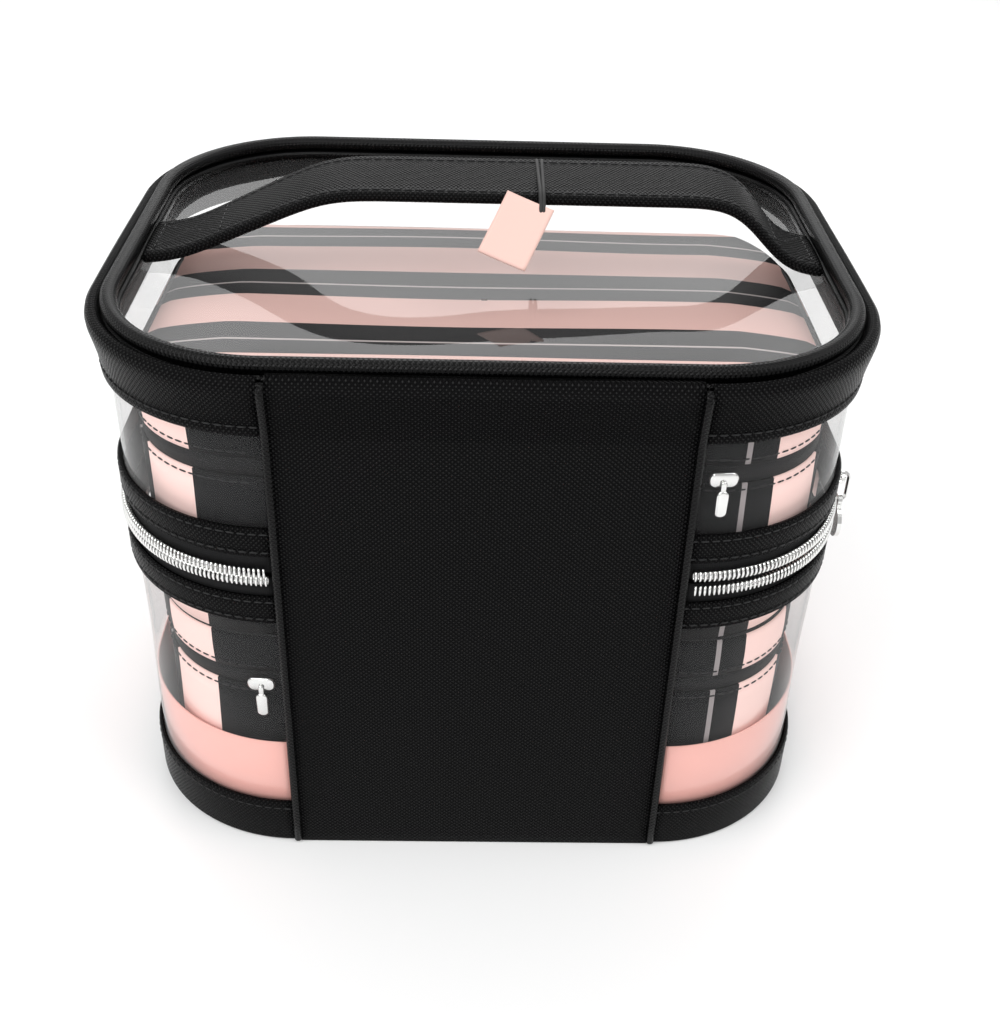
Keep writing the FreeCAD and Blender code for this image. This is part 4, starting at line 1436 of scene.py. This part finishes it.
@dataclass
class Pouch:
    """One soft zip pouch with printed sides, a striped top and a metal pull.

    The bows are those of the body and the rim, and the bead is given by its offset and half sizes.
    """

    prefix: str
    stitcher: Stitcher
    low: float
    high: float
    zip_low: float
    zip_high: float
    rise: float
    phase: float
    side: float
    plan: Outline = Outline(72.0, 33.0, 42.0, -21.2)
    foot: float = 1.2
    lip: float = 0.8
    skin: float = -0.2
    lining: float = -1.4
    wall_steps: int = 9
    bows: tuple[float, float] = (0.6, 0.3)
    tape: tuple[float, float] = (-1.6, -0.9)
    slack: float = 0.5
    slack_run: tuple[float, float] = (31.0, 17.0)
    seam_margin: float = 2.0
    seam_offset: float = 0.1
    bead: tuple[float, float, float] = (-1.6, 0.9, 0.85)
    bead_sides: int = 8
    top_drop: float = 0.9
    top_inset: float = -1.8
    top_half: tuple[float, float] = (112.0, 73.0)
    top_fade: float = 4.0
    dent_run: tuple[float, float] = (26.0, 19.0)
    pull_turn: float = 87.0
    plates: tuple[Plate, ...] = (
        Plate("slider", 0.0, 2.4, 4.6, 0.6, 0.2, 2.0),
        Plate("bail", -2.2, 1.0, 0.0, 2.4, 2.2, 1.0),
        Plate("tab", -8.4, 2.0, 0.0, 6.0, 2.4, 1.0),
    )

    def wave(self, run: np.ndarray, high: np.ndarray) -> np.ndarray:
        """Return the slack of the cloth by run and height."""
        return Ripple(self.slack, *self.slack_run, self.phase).at(run, high) - self.slack

    def wall(self, low: float, high: float, bow: float) -> Section:
        """Draw a closed section that bows outward between two heights.

        Args:
            low: Lower edge.
            high: Upper edge.
            bow: Reach of the bow.

        Returns:
            Points of (offset, height), anticlockwise.
        """
        shares = np.linspace(0.0, 1.0, self.wall_steps)
        levels = np.linspace(low, high, self.wall_steps)
        outer = [(self.skin + bow * math.sin(math.pi * part), z) for part, z in zip(shares, levels)]
        return [*outer, (self.lining, high), (self.lining, low)]

    def puff(self, x: np.ndarray, y: np.ndarray) -> np.ndarray:
        """Find the height of the soft top.

        Args:
            x: Places across.
            y: Places from back to front.

        Returns:
            Heights, lowest at the sewn edge.
        """
        half_x, half_y = self.top_half
        far = np.maximum(np.abs(x) / half_x, np.abs(y - self.plan.centre_y) / half_y)
        edge = np.clip(1.0 - far, 0.0, 1.0)
        wide, deep = self.dent_run
        dents = self.slack * np.sin(x / wide + self.phase) * np.sin(y / deep)
        swell = np.sqrt(np.minimum(edge * self.top_fade, 1.0))
        return self.high - self.top_drop + swell * (self.rise + dents)

    def ring(self, label: str, section: Section, finish: Finish, node: str = "", slot: str = "") -> None:
        """Sweep one piece round the pouch.

        Args:
            label: What the piece is.
            section: Points of (offset, height), anticlockwise.
            finish: Its finish.
            node: Node that it stands for, empty for none.
            slot: Not used.
        """
        made = self.plan.sweep(f"{self.prefix}_bag_{label}", section, True, wave=self.wave)
        put(made, finish, "base", [f"{self.prefix}_pouch_{node}"] if node else [])

    def build(self) -> None:
        """Make the sides, the zip, the top and the pull."""
        name, low, high = self.prefix, self.zip_low, self.zip_high
        body = self.wall(self.low + self.foot, low, self.bows[0])
        self.ring("body", body, POUCH_SIDE, "body", "pouch_print")
        rim = self.wall(high, self.high - self.lip, self.bows[1])
        self.ring("rim", rim, POUCH_SIDE, "rim", "pouch_print")
        inner, outer = self.tape
        tape = [(inner, low), (outer, low), (outer, high), (inner, high)]
        self.ring("zip", tape, TAPE, "zip", "pouch_cloth")
        marks = []
        for z in (low - self.seam_margin, high + self.seam_margin):
            marks += self.stitcher.around(self.plan, self.seam_offset, z, True, self.wave)
        put(self.stitcher.sew(f"{name}_bag_stitches", marks), THREAD, "base")
        turns = Shapes.turns(self.bead_sides)
        offset, wide, tall = self.bead
        level = self.high - self.top_drop
        bead = np.column_stack([offset + wide * np.cos(turns), level + tall * np.sin(turns)])
        self.ring("edge", bead, POUCH_DARK)
        top = self.plan.disc(f"{name}_bag_top", self.top_inset, self.puff)
        put(top, POUCH_TOP, "base", [f"{name}_pouch_top"])
        dress(f"{name}_pouch_base", POUCH_DARK)
        self.hang_pull()

    def hang_pull(self) -> None:
        """Make the pouch slider and its tab by a back corner, one mesh of rounded plates."""
        turn = math.radians(self.pull_turn)
        out = np.array([self.side * math.cos(turn), -math.sin(turn), 0.0])
        level = (self.zip_low + self.zip_high) / 2
        corner = np.array([self.side * self.plan.half_x, self.plan.centre_y - self.plan.half_y, level])
        made = []
        for plate in self.plates:
            rings = plate.rings(corner + out * self.plan.radius, out)
            lines, spots = np.arange(len(rings)), np.arange(rings.shape[1] + 1)
            label = f"{self.prefix}_bag_{plate.label}"
            made.append(Shapes.grid(label, rings, lines, spots, (False, True), True))
        with bpy.context.temp_override(active_object=made[0], selected_editable_objects=made):
            bpy.ops.object.join()
        put(made[0], METAL, "base", [f"{self.prefix}_pouch_pull"])


@dataclass(frozen=True)
class Lamp:
    """One soft area light, in metres and watts."""

    place: Place
    size: float
    power: float


@dataclass
class Studio:
    """Camera, floor and soft lights, in metres."""

    eye: Place = (-0.00519, -0.43985, 0.37684)
    lens: float = 45.866
    nearest: float = 0.01
    right: Place = (0.99953865, -0.01246191, 0.02769805)
    up: Place = (-0.01582206, 0.56479199, 0.82508162)
    ahead: Place = (0.02592572, 0.82513921, -0.56433425)
    aim: Place = (0.0, 0.0, 0.1)
    sky: float = 0.6
    floor_half: float = 4.0
    floor_drop: float = 0.0002
    lamps: tuple[Lamp, ...] = (
        Lamp((-0.9, -0.7, 1.3), 1.2, 14.0),
        Lamp((0.9, -0.4, 1.2), 1.0, 8.0),
        Lamp((0.0, 1.2, 1.1), 1.4, 12.0),
        Lamp((-0.3, -1.2, 0.8), 0.3, 4.0),
    )

    def build(self) -> None:
        """Place the camera, the world, the floor and the lights."""
        scene = bpy.context.scene
        camera = bpy.data.objects.new("camera", bpy.data.cameras.new("camera"))
        camera.data.lens = self.lens
        camera.data.clip_start = self.nearest
        turn = Matrix((self.right, self.up, tuple(-item for item in self.ahead))).transposed()
        camera.matrix_world = Matrix.Translation(self.eye) @ turn.to_4x4()
        scene.collection.objects.link(camera)
        scene.camera = camera
        world = bpy.data.worlds.new("studio")
        world.use_nodes = True
        sky = next(node for node in world.node_tree.nodes if node.type == "BACKGROUND")
        sky.inputs["Color"].default_value = (1.0, 1.0, 1.0, 1.0)
        sky.inputs["Strength"].default_value = self.sky
        scene.world = world
        reach, level = self.floor_half / MM, -self.floor_drop / MM
        ground = np.array([[(x, y, level) for x in (reach, -reach)] for y in (-reach, reach)])
        floor = Shapes.grid("floor", ground, np.arange(2), np.arange(2))
        floor.data.materials.append(FLOOR.material())
        for index, lamp in enumerate(self.lamps):
            light = bpy.data.lights.new(f"soft_light_{index + 1}", "AREA")
            light.size, light.energy = lamp.size, lamp.power
            holder = bpy.data.objects.new(light.name, light)
            holder.location = lamp.place
            way = Vector(self.aim) - Vector(lamp.place)
            holder.rotation_euler = way.to_track_quat("-Z", "Y").to_euler()
            scene.collection.objects.link(holder)
        scene.view_settings.view_transform = "Standard"


def main() -> None:
    """Build every sub-assembly in order."""
    logging.basicConfig(level=logging.INFO, format="%(message)s")
    wall = Outline()
    stitcher = Stitcher(Repeater())
    parts = [
        Studio(),
        Shell(wall, stitcher),
        ZipRun(wall, stitcher),
        TopRim(wall, stitcher),
        BackPanel(),
        Handle(stitcher),
        Tag(),
        SliderSet(),
        Pouch("lower", stitcher, 4.0, 92.0, zip_low=69.0, zip_high=76.0, rise=0.4, phase=0.0, side=-1.0),
        Pouch("upper", stitcher, 92.0, 178.0, zip_low=155.0, zip_high=162.0, rise=5.0, phase=2.1, side=1.0),
    ]
    for part in parts:
        part.build()
        LOG.info("%s built", type(part).__name__)


if __name__ == "__main__":
    main()
